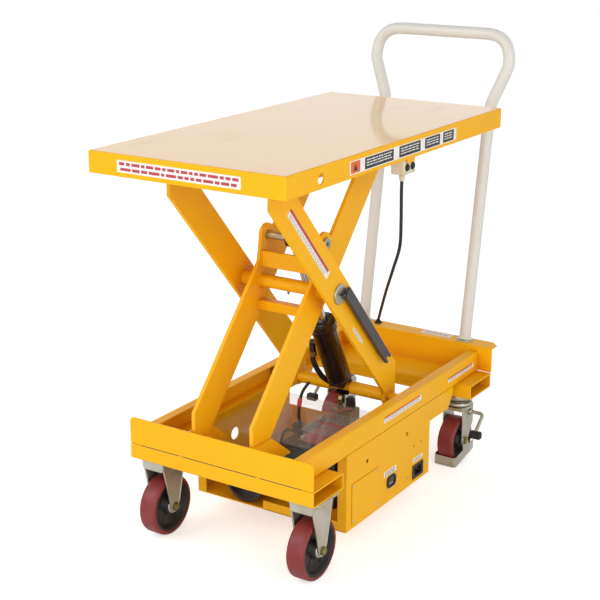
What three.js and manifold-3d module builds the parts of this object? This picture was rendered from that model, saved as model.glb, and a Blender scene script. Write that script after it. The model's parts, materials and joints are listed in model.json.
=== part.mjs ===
// Mobile scissor lift table: a steel platform on one pair of crossed arms over a wheeled base.
// Millimetres, +Z up. X runs across the cart, Y along it with the push handle at +Y.
// The origin is on the floor under the middle of the overall outline. The lift is modelled fully raised.

import * as THREE from "three";
import { mergeVertices } from "three/addons/utils/BufferGeometryUtils.js";
import Module from "manifold-3d";

const wasm = await Module();
wasm.setup();

// ---------- driving dimensions ----------

const GAP = 0.3; // clearance between pieces that touch
const ORIGIN_Y = 93; // the dimensions below count y from the platform's middle, this far from the origin

// platform
const DECK_LENGTH = 1010;
const DECK_WIDTH = 520;
const DECK_TOP = 980;
const DECK_SHEET = 4;
const SKIRT_HEIGHT = 50;

// casters
const FRONT_WHEEL_RADIUS = 75;
const REAR_WHEEL_RADIUS = 63.5;
const TREAD_WIDTH = 46;
const TREAD_DEPTH = 10;
const WHEEL_BORE = 10.3;
const AXLE_RADIUS = 10;
const FRONT_WHEEL = { x: 213, y: -333 };
const REAR_SWIVEL = { x: 188, y: 466 };
const SWIVEL_TRAIL = 20; // the rear wheels trail towards the front, as when the cart is pulled back

// base frame
const BASE_HALF_WIDTH = 260;
const TUBE_BOTTOM = 210;
const TUBE_TOP = 250;
const TUBE_WALL = 4;
const FRONT_TUBE = [-400, -270];
const REAR_TUBE = [384, 509];
const BUMPER_TOP = 317;
const RAIL_OUTER = 220;
const RAIL_INNER = 192;
const RAIL_TOP = 305;
const RAIL_SHEET = 4;
const TRACK_INNER = 184;
const RAIL_REAR = 509;

// scissor pivots in the side plane, as [y, z]
const AXIS_LOW = 275.5;
const AXIS_HIGH = 949.5;
const HINGE_Y = -350;
const ROLLER_Y = 150;
const CENTRE = [(HINGE_Y + ROLLER_Y) / 2, (AXIS_LOW + AXIS_HIGH) / 2];
const ARM_SLOPE = THREE.MathUtils.degToRad(48.4);
const ARM_WIDTH = 85;
const ARM_THICKNESS = 10;
const FOOT_RADIUS = 24;
const FOOT_REACH = 33; // from a pivot to the upright cut end of its arm
const INNER_ARM_X = 77;
const OUTER_ARM_X = 131;
const PIN_RADIUS = 10;
const ROLLER_RADIUS = 18;

// cylinder
const ROD_PIN = [-75, 722];
const BARREL_RADIUS = 32;
const ROD_RADIUS = 15;
const HOOK_TRAVEL = 40; // depth of the open throat that the lower pin leaves in mid-stroke

// power unit tray
const TRAY_FLOOR = 51;
const TRAY = { x: 216, front: -190, rear: 231 };
const SHEET = 3;

// push handle
const HANDLE_RADIUS = 16;

// ---------- colours ----------

const YELLOW = { color: 0xfbb724, roughness: 0.35, metalness: 0 };
const CREAM = { color: 0xddd8d0, roughness: 0.4, metalness: 0 };
const ZINC = { color: 0xc8ccc8, roughness: 0.35, metalness: 0.9 };
const CHROME = { color: 0xe0e0e0, roughness: 0.1, metalness: 1 };
const BLACK = { color: 0x1a1814, roughness: 0.5, metalness: 0 };
const DARK_GREY = { color: 0x4a4a4c, roughness: 0.5, metalness: 0.2 };
const POLYURETHANE = { color: 0x8e3a3a, roughness: 0.4, metalness: 0 };
const OLIVE = { color: 0x8a8458, roughness: 0.4, metalness: 0.7 };
const CLEAR = { color: 0xe8ecec, roughness: 0.1, metalness: 0, transparent: true, opacity: 0.4 };
const GREY_PLASTIC = { color: 0xc9c4b4, roughness: 0.5, metalness: 0 };

// ---------- solid modelling helpers ----------

function toSolid(geometry) {
  geometry.deleteAttribute("normal");
  geometry.deleteAttribute("uv");
  const merged = mergeVertices(geometry, 1e-4);
  const mesh = new wasm.Mesh({
    numProp: 3,
    vertProperties: merged.attributes.position.array,
    triVerts: new Uint32Array(merged.index.array),
  });
  return new wasm.Manifold(mesh);
}

function toGeometry(solid) {
  const mesh = solid.getMesh();
  const geometry = new THREE.BufferGeometry();
  geometry.setAttribute("position", new THREE.BufferAttribute(mesh.vertProperties, 3));
  geometry.setIndex(new THREE.BufferAttribute(mesh.triVerts, 1));
  const faceted = geometry.toNonIndexed();
  faceted.computeVertexNormals();
  return faceted;
}

function join(...solids) {
  return solids.reduce((whole, next) => whole.add(next));
}

function cut(solid, ...tools) {
  return tools.reduce((whole, next) => whole.subtract(next), solid);
}

// Moves a geometry and turns it into a solid.
function placed(geometry, matrix) {
  return toSolid(geometry.applyMatrix4(matrix));
}

function block([x0, x1], [y0, y1], [z0, z1]) {
  const geometry = new THREE.BoxGeometry(x1 - x0, y1 - y0, z1 - z0);
  const middle = new THREE.Matrix4().makeTranslation((x0 + x1) / 2, (y0 + y1) / 2, (z0 + z1) / 2);
  return placed(geometry, middle);
}

// A round bar between two points.
function bar(from, to, radius, sides = 18) {
  const start = new THREE.Vector3(...from);
  const end = new THREE.Vector3(...to);
  const along = end.clone().sub(start);
  const geometry = new THREE.CylinderGeometry(radius, radius, along.length(), sides);
  const turn = new THREE.Quaternion().setFromUnitVectors(
    new THREE.Vector3(0, 1, 0),
    along.clone().normalize(),
  );
  const middle = start.add(end).multiplyScalar(0.5);
  return placed(geometry, new THREE.Matrix4().compose(middle, turn, new THREE.Vector3(1, 1, 1)));
}

// A round bar across the cart, centred on [y, z].
function crossBar([x0, x1], [y, z], radius, sides = 18) {
  return bar([x0, y, z], [x1, y, z], radius, sides);
}

const CURVE_SEGMENTS = 4;

function extruded(shape, depth) {
  return new THREE.ExtrudeGeometry(shape, { depth, bevelEnabled: false, curveSegments: CURVE_SEGMENTS });
}

// An outline drawn in the side plane (y, z), extruded across the cart from x0 to x1.
function sidePlate(shape, [x0, x1]) {
  const basis = new THREE.Matrix4().makeBasis(
    new THREE.Vector3(0, 1, 0),
    new THREE.Vector3(0, 0, 1),
    new THREE.Vector3(1, 0, 0),
  );
  return placed(extruded(shape, x1 - x0), basis.premultiply(new THREE.Matrix4().makeTranslation(x0, 0, 0)));
}

// An outline drawn in the cross plane (x, z), extruded along the cart from y0 to y1.
function crossPlate(shape, [y0, y1]) {
  const basis = new THREE.Matrix4().makeBasis(
    new THREE.Vector3(1, 0, 0),
    new THREE.Vector3(0, 0, 1),
    new THREE.Vector3(0, -1, 0),
  );
  return placed(extruded(shape, y1 - y0), basis.premultiply(new THREE.Matrix4().makeTranslation(0, y1, 0)));
}

// An outline drawn in plan (x, y), extruded up from z0 to z1.
function flatPlate(shape, [z0, z1]) {
  return placed(extruded(shape, z1 - z0), new THREE.Matrix4().makeTranslation(0, 0, z0));
}

function polygon(points) {
  return new THREE.Shape(points.map(([u, v]) => new THREE.Vector2(u, v)));
}

function disc([u, v], radius) {
  const shape = new THREE.Shape();
  shape.absarc(u, v, radius, 0, Math.PI * 2);
  return shape;
}

// A straight link with round ends about two centres.
function linkShape([u0, v0], [u1, v1], radius0, radius1 = radius0) {
  const angle = Math.atan2(v1 - v0, u1 - u0);
  const shape = new THREE.Shape();
  shape.absarc(u0, v0, radius0, angle + Math.PI / 2, angle + Math.PI * 1.5);
  shape.absarc(u1, v1, radius1, angle - Math.PI / 2, angle + Math.PI / 2);
  shape.closePath();
  return shape;
}

function roundedRectangle(u0, u1, v0, v1, radius) {
  const shape = new THREE.Shape();
  shape.absarc(u1 - radius, v0 + radius, radius, -Math.PI / 2, 0);
  shape.absarc(u1 - radius, v1 - radius, radius, 0, Math.PI / 2);
  shape.absarc(u0 + radius, v1 - radius, radius, Math.PI / 2, Math.PI);
  shape.absarc(u0 + radius, v0 + radius, radius, Math.PI, Math.PI * 1.5);
  shape.closePath();
  return shape;
}

// A ring or hub turned about an axle across the cart: profile points are [offset in x, radius].
function turned(profile, [x, y, z], sides = 24) {
  const outline = profile.map(([offset, radius]) => new THREE.Vector2(radius, offset));
  if (THREE.ShapeUtils.area(outline) < 0) outline.reverse();
  const geometry = new THREE.LatheGeometry([...outline, outline[0]], sides);
  const onAxle = new THREE.Matrix4().makeRotationZ(-Math.PI / 2);
  return placed(geometry, onAxle.premultiply(new THREE.Matrix4().makeTranslation(x, y, z)));
}

// A path through corners with rounded bends. Straight stretches take one step, bends take BEND_STEPS.
const BEND_STEPS = 4;

class BentPath extends THREE.Curve {
  constructor(corners, radii) {
    super();
    const points = corners.map((c) => new THREE.Vector3(...c));
    this.pieces = [];
    let start = points[0];
    for (let i = 1; i < points.length - 1; i++) {
      const back = points[i - 1].clone().sub(points[i]).normalize();
      const ahead = points[i + 1].clone().sub(points[i]).normalize();
      const reach = radii[i - 1] / Math.tan(back.angleTo(ahead) / 2);
      const bendStart = points[i].clone().addScaledVector(back, reach);
      const bendEnd = points[i].clone().addScaledVector(ahead, reach);
      this.pieces.push([new THREE.LineCurve3(start, bendStart), 1]);
      this.pieces.push([new THREE.QuadraticBezierCurve3(bendStart, points[i], bendEnd), BEND_STEPS]);
      start = bendEnd;
    }
    this.pieces.push([new THREE.LineCurve3(start, points.at(-1)), 1]);
    this.steps = this.pieces.reduce((sum, [, steps]) => sum + steps, 0);
  }

  getPoint(t, target = new THREE.Vector3()) {
    let left = t * this.steps;
    for (const [curve, steps] of this.pieces) {
      if (left <= steps) return curve.getPoint(left / steps, target);
      left -= steps;
    }
    return this.pieces.at(-1)[0].getPoint(1, target);
  }

  getUtoTmapping(u) {
    return u;
  }
}

// A round rod or tube swept along a bent path.
function swept(path, radius, wall = 0, sides = 5) {
  const shape = new THREE.Shape();
  shape.absarc(0, 0, radius, 0, Math.PI * 2);
  if (wall) {
    const hollow = new THREE.Path();
    hollow.absarc(0, 0, radius - wall, 0, Math.PI * 2);
    shape.holes.push(hollow);
  }
  return toSolid(
    new THREE.ExtrudeGeometry(shape, { extrudePath: path, steps: path.steps, curveSegments: sides }),
  );
}

const root = new THREE.Group();
const cart = new THREE.Group();
cart.position.y = -ORIGIN_Y;
root.add(cart);

function addPart(name, solid, finish) {
  const mesh = new THREE.Mesh(toGeometry(solid), new THREE.MeshStandardMaterial(finish));
  mesh.name = name;
  cart.add(mesh);
}

// Adds a piece on each side of the cart. make(side) builds it for side +1 (right) or -1 (left).
function addPair(name, make, finish) {
  for (const [suffix, side] of [["left", -1], ["right", 1]]) {
    addPart(name + "_" + suffix, make(side), finish);
  }
}

// An x range on one side of the cart, in rising order.
function span(side, near, far) {
  return side > 0 ? [near, far] : [-far, -near];
}

// ---------- base frame ----------

function crossTube([y0, y1]) {
  const outer = block([-BASE_HALF_WIDTH, BASE_HALF_WIDTH], [y0, y1], [TUBE_BOTTOM, TUBE_TOP]);
  const hollow = block(
    [-BASE_HALF_WIDTH - 1, BASE_HALF_WIDTH + 1],
    [y0 + TUBE_WALL, y1 - TUBE_WALL],
    [TUBE_BOTTOM + TUBE_WALL, TUBE_TOP - TUBE_WALL],
  );
  return cut(outer, hollow);
}

const FRAME_FLOOR = TUBE_TOP + GAP; // everything welded on top of the cross tubes starts here
const BUMPER = [FRONT_TUBE[0], FRONT_TUBE[0] + 5];

function bumperPlate() {
  const chamfer = 7;
  const outline = polygon([
    [-BASE_HALF_WIDTH, FRAME_FLOOR],
    [BASE_HALF_WIDTH, FRAME_FLOOR],
    [BASE_HALF_WIDTH, BUMPER_TOP - chamfer],
    [BASE_HALF_WIDTH - chamfer, BUMPER_TOP],
    [-BASE_HALF_WIDTH + chamfer, BUMPER_TOP],
    [-BASE_HALF_WIDTH, BUMPER_TOP - chamfer],
  ]);
  return crossPlate(outline, BUMPER);
}

// The rear wall stands on the rear tube and folds back into the shelf that carries the handle.
const REAR_WALL = { front: RAIL_REAR + GAP, sheet: 4, shelfTop: 320, shelfRear: 562, chamfer: 20 };

function rearWall() {
  const { front, sheet, shelfTop, shelfRear, chamfer } = REAR_WALL;
  const upright = block([-BASE_HALF_WIDTH, BASE_HALF_WIDTH], [front, front + sheet], [FRAME_FLOOR, shelfTop]);
  const shelf = flatPlate(
    polygon([
      [-BASE_HALF_WIDTH, front],
      [BASE_HALF_WIDTH, front],
      [BASE_HALF_WIDTH, shelfRear - chamfer],
      [BASE_HALF_WIDTH - chamfer, shelfRear],
      [-BASE_HALF_WIDTH + chamfer, shelfRear],
      [-BASE_HALF_WIDTH, shelfRear - chamfer],
    ]),
    [shelfTop - sheet, shelfTop],
  );
  const gussets = [-110, 110].map((x) =>
    sidePlate(
      polygon([
        [front + sheet - 1, shelfTop - sheet + 1],
        [front + sheet - 1, shelfTop - 45],
        [shelfRear - 14, shelfTop - sheet + 1],
      ]),
      [x - 2, x + 2],
    ),
  );
  return join(upright, shelf, ...gussets);
}

// Side rail: a channel open towards the middle, whose lower flange is the roller track.
function sideRail(side) {
  const along = [BUMPER[1] + GAP, RAIL_REAR];
  const web = block(span(side, RAIL_OUTER - RAIL_SHEET, RAIL_OUTER), along, [FRAME_FLOOR, RAIL_TOP]);
  const top = block(span(side, RAIL_INNER, RAIL_OUTER), along, [RAIL_TOP - RAIL_SHEET, RAIL_TOP]);
  const track = block(span(side, TRACK_INNER, RAIL_OUTER), along, [FRAME_FLOOR, FRAME_FLOOR + RAIL_SHEET]);
  return join(web, top, track);
}

// Bracket on the front tube with the pin of one inner arm: a round cheek inside the arm, and a
// gusset outside it that runs from the bumper and slopes down behind.
function baseHinge(side) {
  const pivot = [HINGE_Y, AXIS_LOW];
  const arm = [INNER_ARM_X, INNER_ARM_X + ARM_THICKNESS];
  const innerFaces = span(side, arm[0] - GAP - 12, arm[0] - GAP);
  const cheek = join(
    sidePlate(disc(pivot, 20), innerFaces),
    block(innerFaces, [HINGE_Y - 26, HINGE_Y + 26], [FRAME_FLOOR, AXIS_LOW - 8]),
  );
  const gussetTop = 312;
  const outline = polygon([
    [BUMPER[1] + GAP, FRAME_FLOOR],
    [HINGE_Y + 112, FRAME_FLOOR],
    [HINGE_Y + 34, gussetTop],
    [BUMPER[1] + GAP, gussetTop],
  ]);
  const gusset = sidePlate(outline, span(side, arm[1] + GAP, arm[1] + GAP + 8));
  return join(cheek, gusset, crossBar(span(side, arm[0] - GAP - 14, arm[1] + GAP + 12), pivot, PIN_RADIUS));
}

addPart("front_cross_tube", crossTube(FRONT_TUBE), YELLOW);
addPart("rear_cross_tube", crossTube(REAR_TUBE), YELLOW);
addPart("front_bumper", bumperPlate(), YELLOW);
addPart("rear_wall", rearWall(), YELLOW);
addPair("side_rail", sideRail, YELLOW);
addPair("base_hinge", baseHinge, YELLOW);

// ---------- power unit tray and what it holds ----------

const PANEL = { outer: RAIL_OUTER, inner: RAIL_OUTER - SHEET };
const GAUGE = { y: 27, z: 105, width: 44, height: 32, hole: [34, 24] };
const SOCKET = { y: 168, z: 82, width: 56, height: 38, hole: [50, 32] };

function panelHole({ y, z }, [width, height], x = [PANEL.inner - 1, PANEL.outer + 1]) {
  return block(x, [y - width / 2, y + width / 2], [z - height / 2, z + height / 2]);
}

// The side panel of the tray steps up behind and runs on under the rail to the rear tube.
function trayPanel(side) {
  const stepFloor = 195;
  const stepRear = 362;
  const slant = 28;
  const outline = polygon([
    [TRAY.front, TRAY_FLOOR],
    [TRAY.rear, TRAY_FLOOR],
    [TRAY.rear, stepFloor],
    [stepRear - slant, stepFloor],
    [stepRear, stepFloor + slant + 10],
    [stepRear, TUBE_TOP],
    [TRAY.front, TUBE_TOP],
  ]);
  return sidePlate(outline, span(side, PANEL.inner, PANEL.outer));
}

function tray() {
  const floor = block([-PANEL.outer, PANEL.outer], [TRAY.front, TRAY.rear], [TRAY_FLOOR, TRAY_FLOOR + SHEET]);
  const back = block([-PANEL.outer, PANEL.outer], [TRAY.rear - SHEET, TRAY.rear], [TRAY_FLOOR, 150]);
  const lip = block([-20, PANEL.outer], [TRAY.front, TRAY.front + SHEET], [TRAY_FLOOR, TRAY_FLOOR + 24]);
  const flanges = [-1, 1].map((side) =>
    block(span(side, PANEL.outer - 25, PANEL.outer), [TRAY.front, TRAY.front + SHEET], [TRAY_FLOOR, TUBE_TOP]),
  );
  const drillings = [
    [-91, 202, 6],
    [108, 202, 6],
    [145, 155, 3.5],
    [184, 156, 3.5],
  ].map(([y, z, radius]) => crossBar([PANEL.inner - 1, PANEL.outer + 1], [y, z], radius, 12));
  const whole = join(floor, back, lip, ...flanges, trayPanel(-1), trayPanel(1));
  const leftHole = sidePlate(disc([-30, 153], 17), span(-1, PANEL.inner - 1, PANEL.outer + 1));
  return cut(whole, leftHole, panelHole(GAUGE, GAUGE.hole), panelHole(SOCKET, SOCKET.hole), ...drillings);
}

function serviceCover() {
  const y = [-165, -35];
  const z = [62, 168];
  const shape = roundedRectangle(y[0], y[1], z[0], z[1], 4);
  return sidePlate(shape, [PANEL.outer + GAP, PANEL.outer + GAP + 2]);
}

// A flanged instrument that fills a panel opening.
function panelInsert({ y, z, width, height, hole }, corner, depth, proud) {
  const flange = sidePlate(
    roundedRectangle(y - width / 2, y + width / 2, z - height / 2, z + height / 2, corner),
    [PANEL.outer + GAP, PANEL.outer + GAP + proud],
  );
  const body = panelHole({ y, z }, [hole[0] - 1, hole[1] - 1], [PANEL.outer - depth, PANEL.outer + GAP + 1]);
  return join(flange, body);
}

function chargeSocket() {
  const recess = panelHole(SOCKET, [38, 22], [PANEL.outer - 14, PANEL.outer + 10]);
  return cut(panelInsert(SOCKET, 2, 24, 2.5), recess);
}

const CONTENTS_FLOOR = TRAY_FLOOR + SHEET + GAP;

function battery() {
  const body = block([-20, 134], [-100, 85], [CONTENTS_FLOOR, 205]);
  const terminals = [-70, 55].map((y) => bar([20, y, 204], [20, y, 218], 7, 12));
  return join(body, ...terminals);
}

const MOTOR = { x: -80, front: TRAY.front + 4, rear: -70, radius: 58 };

function pumpMotor() {
  const z = CONTENTS_FLOOR + MOTOR.radius;
  const can = bar([MOTOR.x, MOTOR.front, z], [MOTOR.x, MOTOR.rear, z], MOTOR.radius, 24);
  const pumpHead = block([MOTOR.x - 34, MOTOR.x + 34], [MOTOR.rear - 1, MOTOR.rear + 45], [z - 34, z + 40]);
  return join(can, pumpHead);
}

function oilTank() {
  const outline = roundedRectangle(MOTOR.x - 48, MOTOR.x + 48, CONTENTS_FLOOR, CONTENTS_FLOOR + 110, 22);
  const filler = bar([MOTOR.x, 60, CONTENTS_FLOOR + 109], [MOTOR.x, 60, CONTENTS_FLOOR + 126], 14, 16);
  return join(crossPlate(outline, [MOTOR.rear + 45 + GAP, 112]), filler);
}

function valveBlock() {
  const body = block([-18, 38], [130, 180], [CONTENTS_FLOOR, 212]);
  const coil = bar([24, 155, 211], [24, 155, 246], 13, 16);
  const union = bar([-4, 150, 211], [-4, 150, 232], 9, 16);
  return join(body, coil, union);
}

// Folded clear sheet over the battery and the pump.
function splashCover() {
  const sheet = 2;
  const top = 238;
  const front = -184;
  const rear = 118;
  const outline = polygon([
    [front, 196],
    [front + sheet, 196],
    [front + sheet, top - sheet],
    [rear - sheet, top - sheet],
    [rear - sheet, 214],
    [rear, 214],
    [rear, top],
    [front, top],
  ]);
  return sidePlate(outline, [-178, 138]);
}

addPart("power_tray", tray(), YELLOW);
addPart("service_cover", serviceCover(), YELLOW);
addPart("battery_gauge", panelInsert(GAUGE, 13, 18, 3.5), BLACK);
addPart("charge_socket", chargeSocket(), BLACK);
addPart("battery", battery(), BLACK);
addPart("pump_motor", pumpMotor(), BLACK);
addPart("oil_tank", oilTank(), GREY_PLASTIC);
addPart("valve_block", valveBlock(), OLIVE);
addPart("splash_cover", splashCover(), CLEAR);

// ---------- push handle ----------

function pushHandle() {
  const foot = [162, 542, REAR_WALL.shelfTop + 3.5]; // the leaning tube ends just above the shelf
  const spread = [162, 645, 958]; // the legs run straight up to here and then spread
  const shoulder = [203, 661, 1063];
  const corner = [203, 675, 1146];
  const right = [foot, spread, shoulder, corner];
  const left = right.map(([x, y, z]) => [-x, y, z]).reverse();
  const radii = [90, 90, 75, 75, 90, 90];
  return swept(new BentPath([...right, ...left], radii), HANDLE_RADIUS);
}

addPart("push_handle", pushHandle(), CREAM);

// ---------- casters ----------

const LEG = 4;
const HUB_HALF = 22;
const FORK_INNER = 27; // from the wheel's middle to the inside of a fork leg
const FORK_OUTER = FORK_INNER + LEG;

function treadRing(radius, x, y) {
  const half = TREAD_WIDTH / 2;
  const inner = radius - TREAD_DEPTH;
  const shoulder = 5;
  return turned(
    [
      [-half, inner + GAP],
      [-half, radius - shoulder],
      [-half + shoulder, radius],
      [half - shoulder, radius],
      [half, radius - shoulder],
      [half, inner + GAP],
    ],
    [x, y, radius],
  );
}

function wheelHub(radius, x, y) {
  const rim = radius - TREAD_DEPTH;
  const web = 7;
  return turned(
    [
      [-HUB_HALF, WHEEL_BORE],
      [HUB_HALF, WHEEL_BORE],
      [HUB_HALF, 21],
      [web, 25],
      [web, rim - 10],
      [HUB_HALF, rim - 6],
      [HUB_HALF, rim],
      [-HUB_HALF, rim],
      [-HUB_HALF, rim - 6],
      [-web, rim - 10],
      [-web, 25],
      [-HUB_HALF, 21],
    ],
    [x, y, radius],
  );
}

// Axle bolt with hexagon heads outside the fork legs.
function axle(x, centre, outer) {
  const heads = [-1, 1].map((end) =>
    crossBar([x + end * outer - 0.5, x + end * outer + end * 7].sort((a, b) => a - b), centre, 10.5, 6),
  );
  return join(crossBar([x - outer - 1, x + outer + 1], centre, AXLE_RADIUS, 20), ...heads);
}

function casterPlate(x, y, half) {
  const plate = roundedRectangle(x - half, x + half, y - half, y + half, 8);
  return flatPlate(plate, [TUBE_BOTTOM - GAP - 5, TUBE_BOTTOM - GAP]);
}

// The pressed top of a rigid fork, with a lip turned down at both ends.
const FRONT_CROWN = { half: 46, sheet: 4, lip: 27 };

// Rigid fork pressed from one sheet under its mounting plate.
function frontFork(side) {
  const x = side * FRONT_WHEEL.x;
  const y = FRONT_WHEEL.y;
  const top = TUBE_BOTTOM - GAP - 4;
  const leg = new THREE.Shape();
  leg.absarc(y, FRONT_WHEEL_RADIUS, 15, Math.PI, Math.PI * 2);
  leg.lineTo(y + FRONT_CROWN.half, top);
  leg.lineTo(y - FRONT_CROWN.half, top);
  leg.closePath();
  const legs = [
    [x - FORK_OUTER, x - FORK_INNER],
    [x + FORK_INNER, x + FORK_OUTER],
  ].map((range) => sidePlate(leg, range));
  const { half, sheet, lip } = FRONT_CROWN;
  const across = [x - FORK_OUTER, x + FORK_OUTER];
  const crown = block(across, [y - half + 1, y + half - 1], [top - sheet, top]);
  const lips = [
    [y - half + 0.5, y - half + 0.5 + sheet],
    [y + half - 0.5 - sheet, y + half - 0.5],
  ].map((range) => block(across, range, [top - lip, top]));
  const bolt = axle(x, [y, FRONT_WHEEL_RADIUS], FORK_OUTER);
  return join(casterPlate(x, y, 48), crown, ...lips, ...legs, bolt);
}

const REAR_CROWN = { bottom: 152, top: 160 };

// Fixed half of a swivel caster: plate, race and kingpin with its nut.
function swivelPlate(side) {
  const x = side * REAR_SWIVEL.x;
  const y = REAR_SWIVEL.y;
  const plateFloor = TUBE_BOTTOM - GAP - 5;
  const race = bar([x, y, REAR_CROWN.top + GAP], [x, y, plateFloor + 1], 37, 24);
  const kingpin = bar([x, y, REAR_CROWN.bottom - 9], [x, y, REAR_CROWN.top + 1], 8, 16);
  const nut = bar([x, y, REAR_CROWN.bottom - 10], [x, y, REAR_CROWN.bottom - GAP], 12, 6);
  return join(casterPlate(x, y, 48), race, kingpin, nut);
}

const REAR_WHEEL_Y = REAR_SWIVEL.y - SWIVEL_TRAIL;
const BRAKE_PIVOT = [REAR_SWIVEL.y + 6, 141];

// Swivelling fork with a sheet toe guard around the foot of the wheel.
function rearFork(side) {
  const x = side * REAR_SWIVEL.x;
  const y = REAR_WHEEL_Y;
  const { bottom, top } = REAR_CROWN;
  const front = y - 14;
  const rear = REAR_SWIVEL.y + 28;
  const leg = new THREE.Shape();
  leg.absarc(y, REAR_WHEEL_RADIUS, 16, Math.PI, Math.PI * 1.85);
  leg.lineTo(rear, 104);
  leg.lineTo(rear, top);
  leg.lineTo(front, top);
  leg.closePath();
  const legs = [
    [x - FORK_OUTER, x - FORK_INNER],
    [x + FORK_INNER, x + FORK_OUTER],
  ].map((range) => sidePlate(leg, range));
  const crown = join(
    bar([x, REAR_SWIVEL.y, bottom], [x, REAR_SWIVEL.y, top], 37, 24),
    block([x - FORK_OUTER, x + FORK_OUTER], [REAR_SWIVEL.y - 42, rear], [bottom, top]),
  );
  const kingpinHole = bar([x, REAR_SWIVEL.y, bottom - 20], [x, REAR_SWIVEL.y, top + 10], 8 + GAP, 16);
  const bolt = axle(x, [y, REAR_WHEEL_RADIUS], FORK_OUTER);
  return join(cut(crown, kingpinHole), ...legs, bolt, toeGuard(x, y));
}

function toeGuard(x, y) {
  const sheet = 2;
  const front = y - 58;
  const rear = y + 52;
  const floor = 2;
  const height = 27;
  const rise = 20; // the band climbs towards the rear
  const inner = FORK_OUTER - 0.2;
  const sideShape = polygon([
    [front, floor],
    [rear, floor + rise],
    [rear, floor + rise + height],
    [front, floor + height],
  ]);
  const tab = linkShape([y, REAR_WHEEL_RADIUS], [y + 6, 44], 14, 18);
  const cheeks = [
    [x - inner - sheet, x - inner],
    [x + inner, x + inner + sheet],
  ].flatMap((range) => [sidePlate(sideShape, range), sidePlate(tab, range)]);
  const nose = block([x - inner - sheet, x + inner + sheet], [front, front + sheet], [floor, floor + height]);
  return join(nose, ...cheeks);
}

function brakeLever(side) {
  const legFace = side * (REAR_SWIVEL.x + FORK_OUTER + GAP);
  const arm = side * 260;
  const [y, z] = BRAKE_PIVOT;
  const elbow = [arm, y - 50, z - 41];
  const path = new BentPath([[legFace + side * 2, y, z], [arm, y, z], elbow], [12]);
  const boss = crossBar(span(side, Math.abs(legFace), Math.abs(legFace) + 7), BRAKE_PIVOT, 10, 20);
  const padShape = roundedRectangle(elbow[1] - 11, elbow[1] + 9, elbow[2] - 12, elbow[2] + 8, 5);
  const pad = sidePlate(padShape, span(side, 248, 278));
  return join(boss, swept(path, 5, 0, 4), pad);
}

const onFront = (make) => (side) => make(FRONT_WHEEL_RADIUS, side * FRONT_WHEEL.x, FRONT_WHEEL.y);
const onRear = (make) => (side) => make(REAR_WHEEL_RADIUS, side * REAR_SWIVEL.x, REAR_WHEEL_Y);

addPair("front_caster_fork", frontFork, ZINC);
addPair("front_wheel_hub", onFront(wheelHub), BLACK);
addPair("front_wheel_tread", onFront(treadRing), POLYURETHANE);
addPair("rear_swivel_plate", swivelPlate, ZINC);
addPair("rear_caster_fork", rearFork, ZINC);
addPair("rear_wheel_hub", onRear(wheelHub), BLACK);
addPair("rear_wheel_tread", onRear(treadRing), POLYURETHANE);
addPair("brake_lever", brakeLever, ZINC);

// ---------- scissor arms ----------

const ARM_DIRECTION = [Math.cos(ARM_SLOPE), Math.sin(ARM_SLOPE)];
const BAND_RISE = ARM_WIDTH / 2 / Math.cos(ARM_SLOPE);

// Outline of the arm that climbs towards +Y. A straight band passes through the centre pivot, and
// each end is cut upright and runs on to a round foot about its own pivot.
function armOutline() {
  const edge = (y, sign) => CENTRE[1] + (y - CENTRE[0]) * Math.tan(ARM_SLOPE) + sign * BAND_RISE;
  const heelY = HINGE_Y - FOOT_REACH;
  const toeY = ROLLER_Y + FOOT_REACH;
  const shape = new THREE.Shape();
  shape.moveTo(heelY, edge(heelY, 1));
  shape.absarc(heelY + FOOT_RADIUS, AXIS_LOW, FOOT_RADIUS, Math.PI, Math.PI * 1.5);
  shape.absarc(HINGE_Y, AXIS_LOW, FOOT_RADIUS, Math.PI * 1.5, Math.PI * 2);
  shape.lineTo(HINGE_Y + FOOT_RADIUS, edge(HINGE_Y + FOOT_RADIUS, -1));
  shape.lineTo(toeY, edge(toeY, -1));
  shape.absarc(toeY - FOOT_RADIUS, AXIS_HIGH, FOOT_RADIUS, 0, Math.PI / 2);
  shape.absarc(ROLLER_Y, AXIS_HIGH, FOOT_RADIUS, Math.PI / 2, Math.PI);
  shape.lineTo(ROLLER_Y - FOOT_RADIUS, edge(ROLLER_Y - FOOT_RADIUS, 1));
  shape.closePath();
  return shape;
}

// The other arm of the pair is the same outline mirrored about the centre pivot.
function mirroredAlong(shape) {
  const points = shape.getPoints(CURVE_SEGMENTS).map((p) => new THREE.Vector2(2 * CENTRE[0] - p.x, p.y));
  return new THREE.Shape(points.reverse());
}

const CENTRE_SHAFT_RADIUS = 10;
const SPACER_RADIUS = 18;

function pinHole([x0, x1], centre, radius = PIN_RADIUS) {
  return crossBar([x0 - 1, x1 + 1], centre, radius + GAP);
}

function innerArm(side) {
  const range = span(side, INNER_ARM_X, INNER_ARM_X + ARM_THICKNESS);
  const ear = sidePlate(linkShape(ROD_PIN, [-72, 650], 28, 42), range);
  const spacer = crossBar(span(side, INNER_ARM_X + 1, OUTER_ARM_X - GAP), CENTRE, SPACER_RADIUS);
  const whole = join(sidePlate(armOutline(), range), ear, spacer);
  return cut(
    whole,
    pinHole(range, [HINGE_Y, AXIS_LOW]),
    pinHole(range, [ROLLER_Y, AXIS_HIGH]),
    pinHole(range, ROD_PIN),
    pinHole(span(side, INNER_ARM_X, OUTER_ARM_X), CENTRE, CENTRE_SHAFT_RADIUS),
  );
}

function outerArm(side) {
  const range = span(side, OUTER_ARM_X, OUTER_ARM_X + ARM_THICKNESS);
  return cut(
    sidePlate(mirroredAlong(armOutline()), range),
    pinHole(range, [HINGE_Y, AXIS_HIGH]),
    pinHole(range, [ROLLER_Y, AXIS_LOW]),
    pinHole(range, CENTRE, CENTRE_SHAFT_RADIUS),
  );
}

const BETWEEN_INNER = [-INNER_ARM_X + GAP, INNER_ARM_X - GAP];

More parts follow.
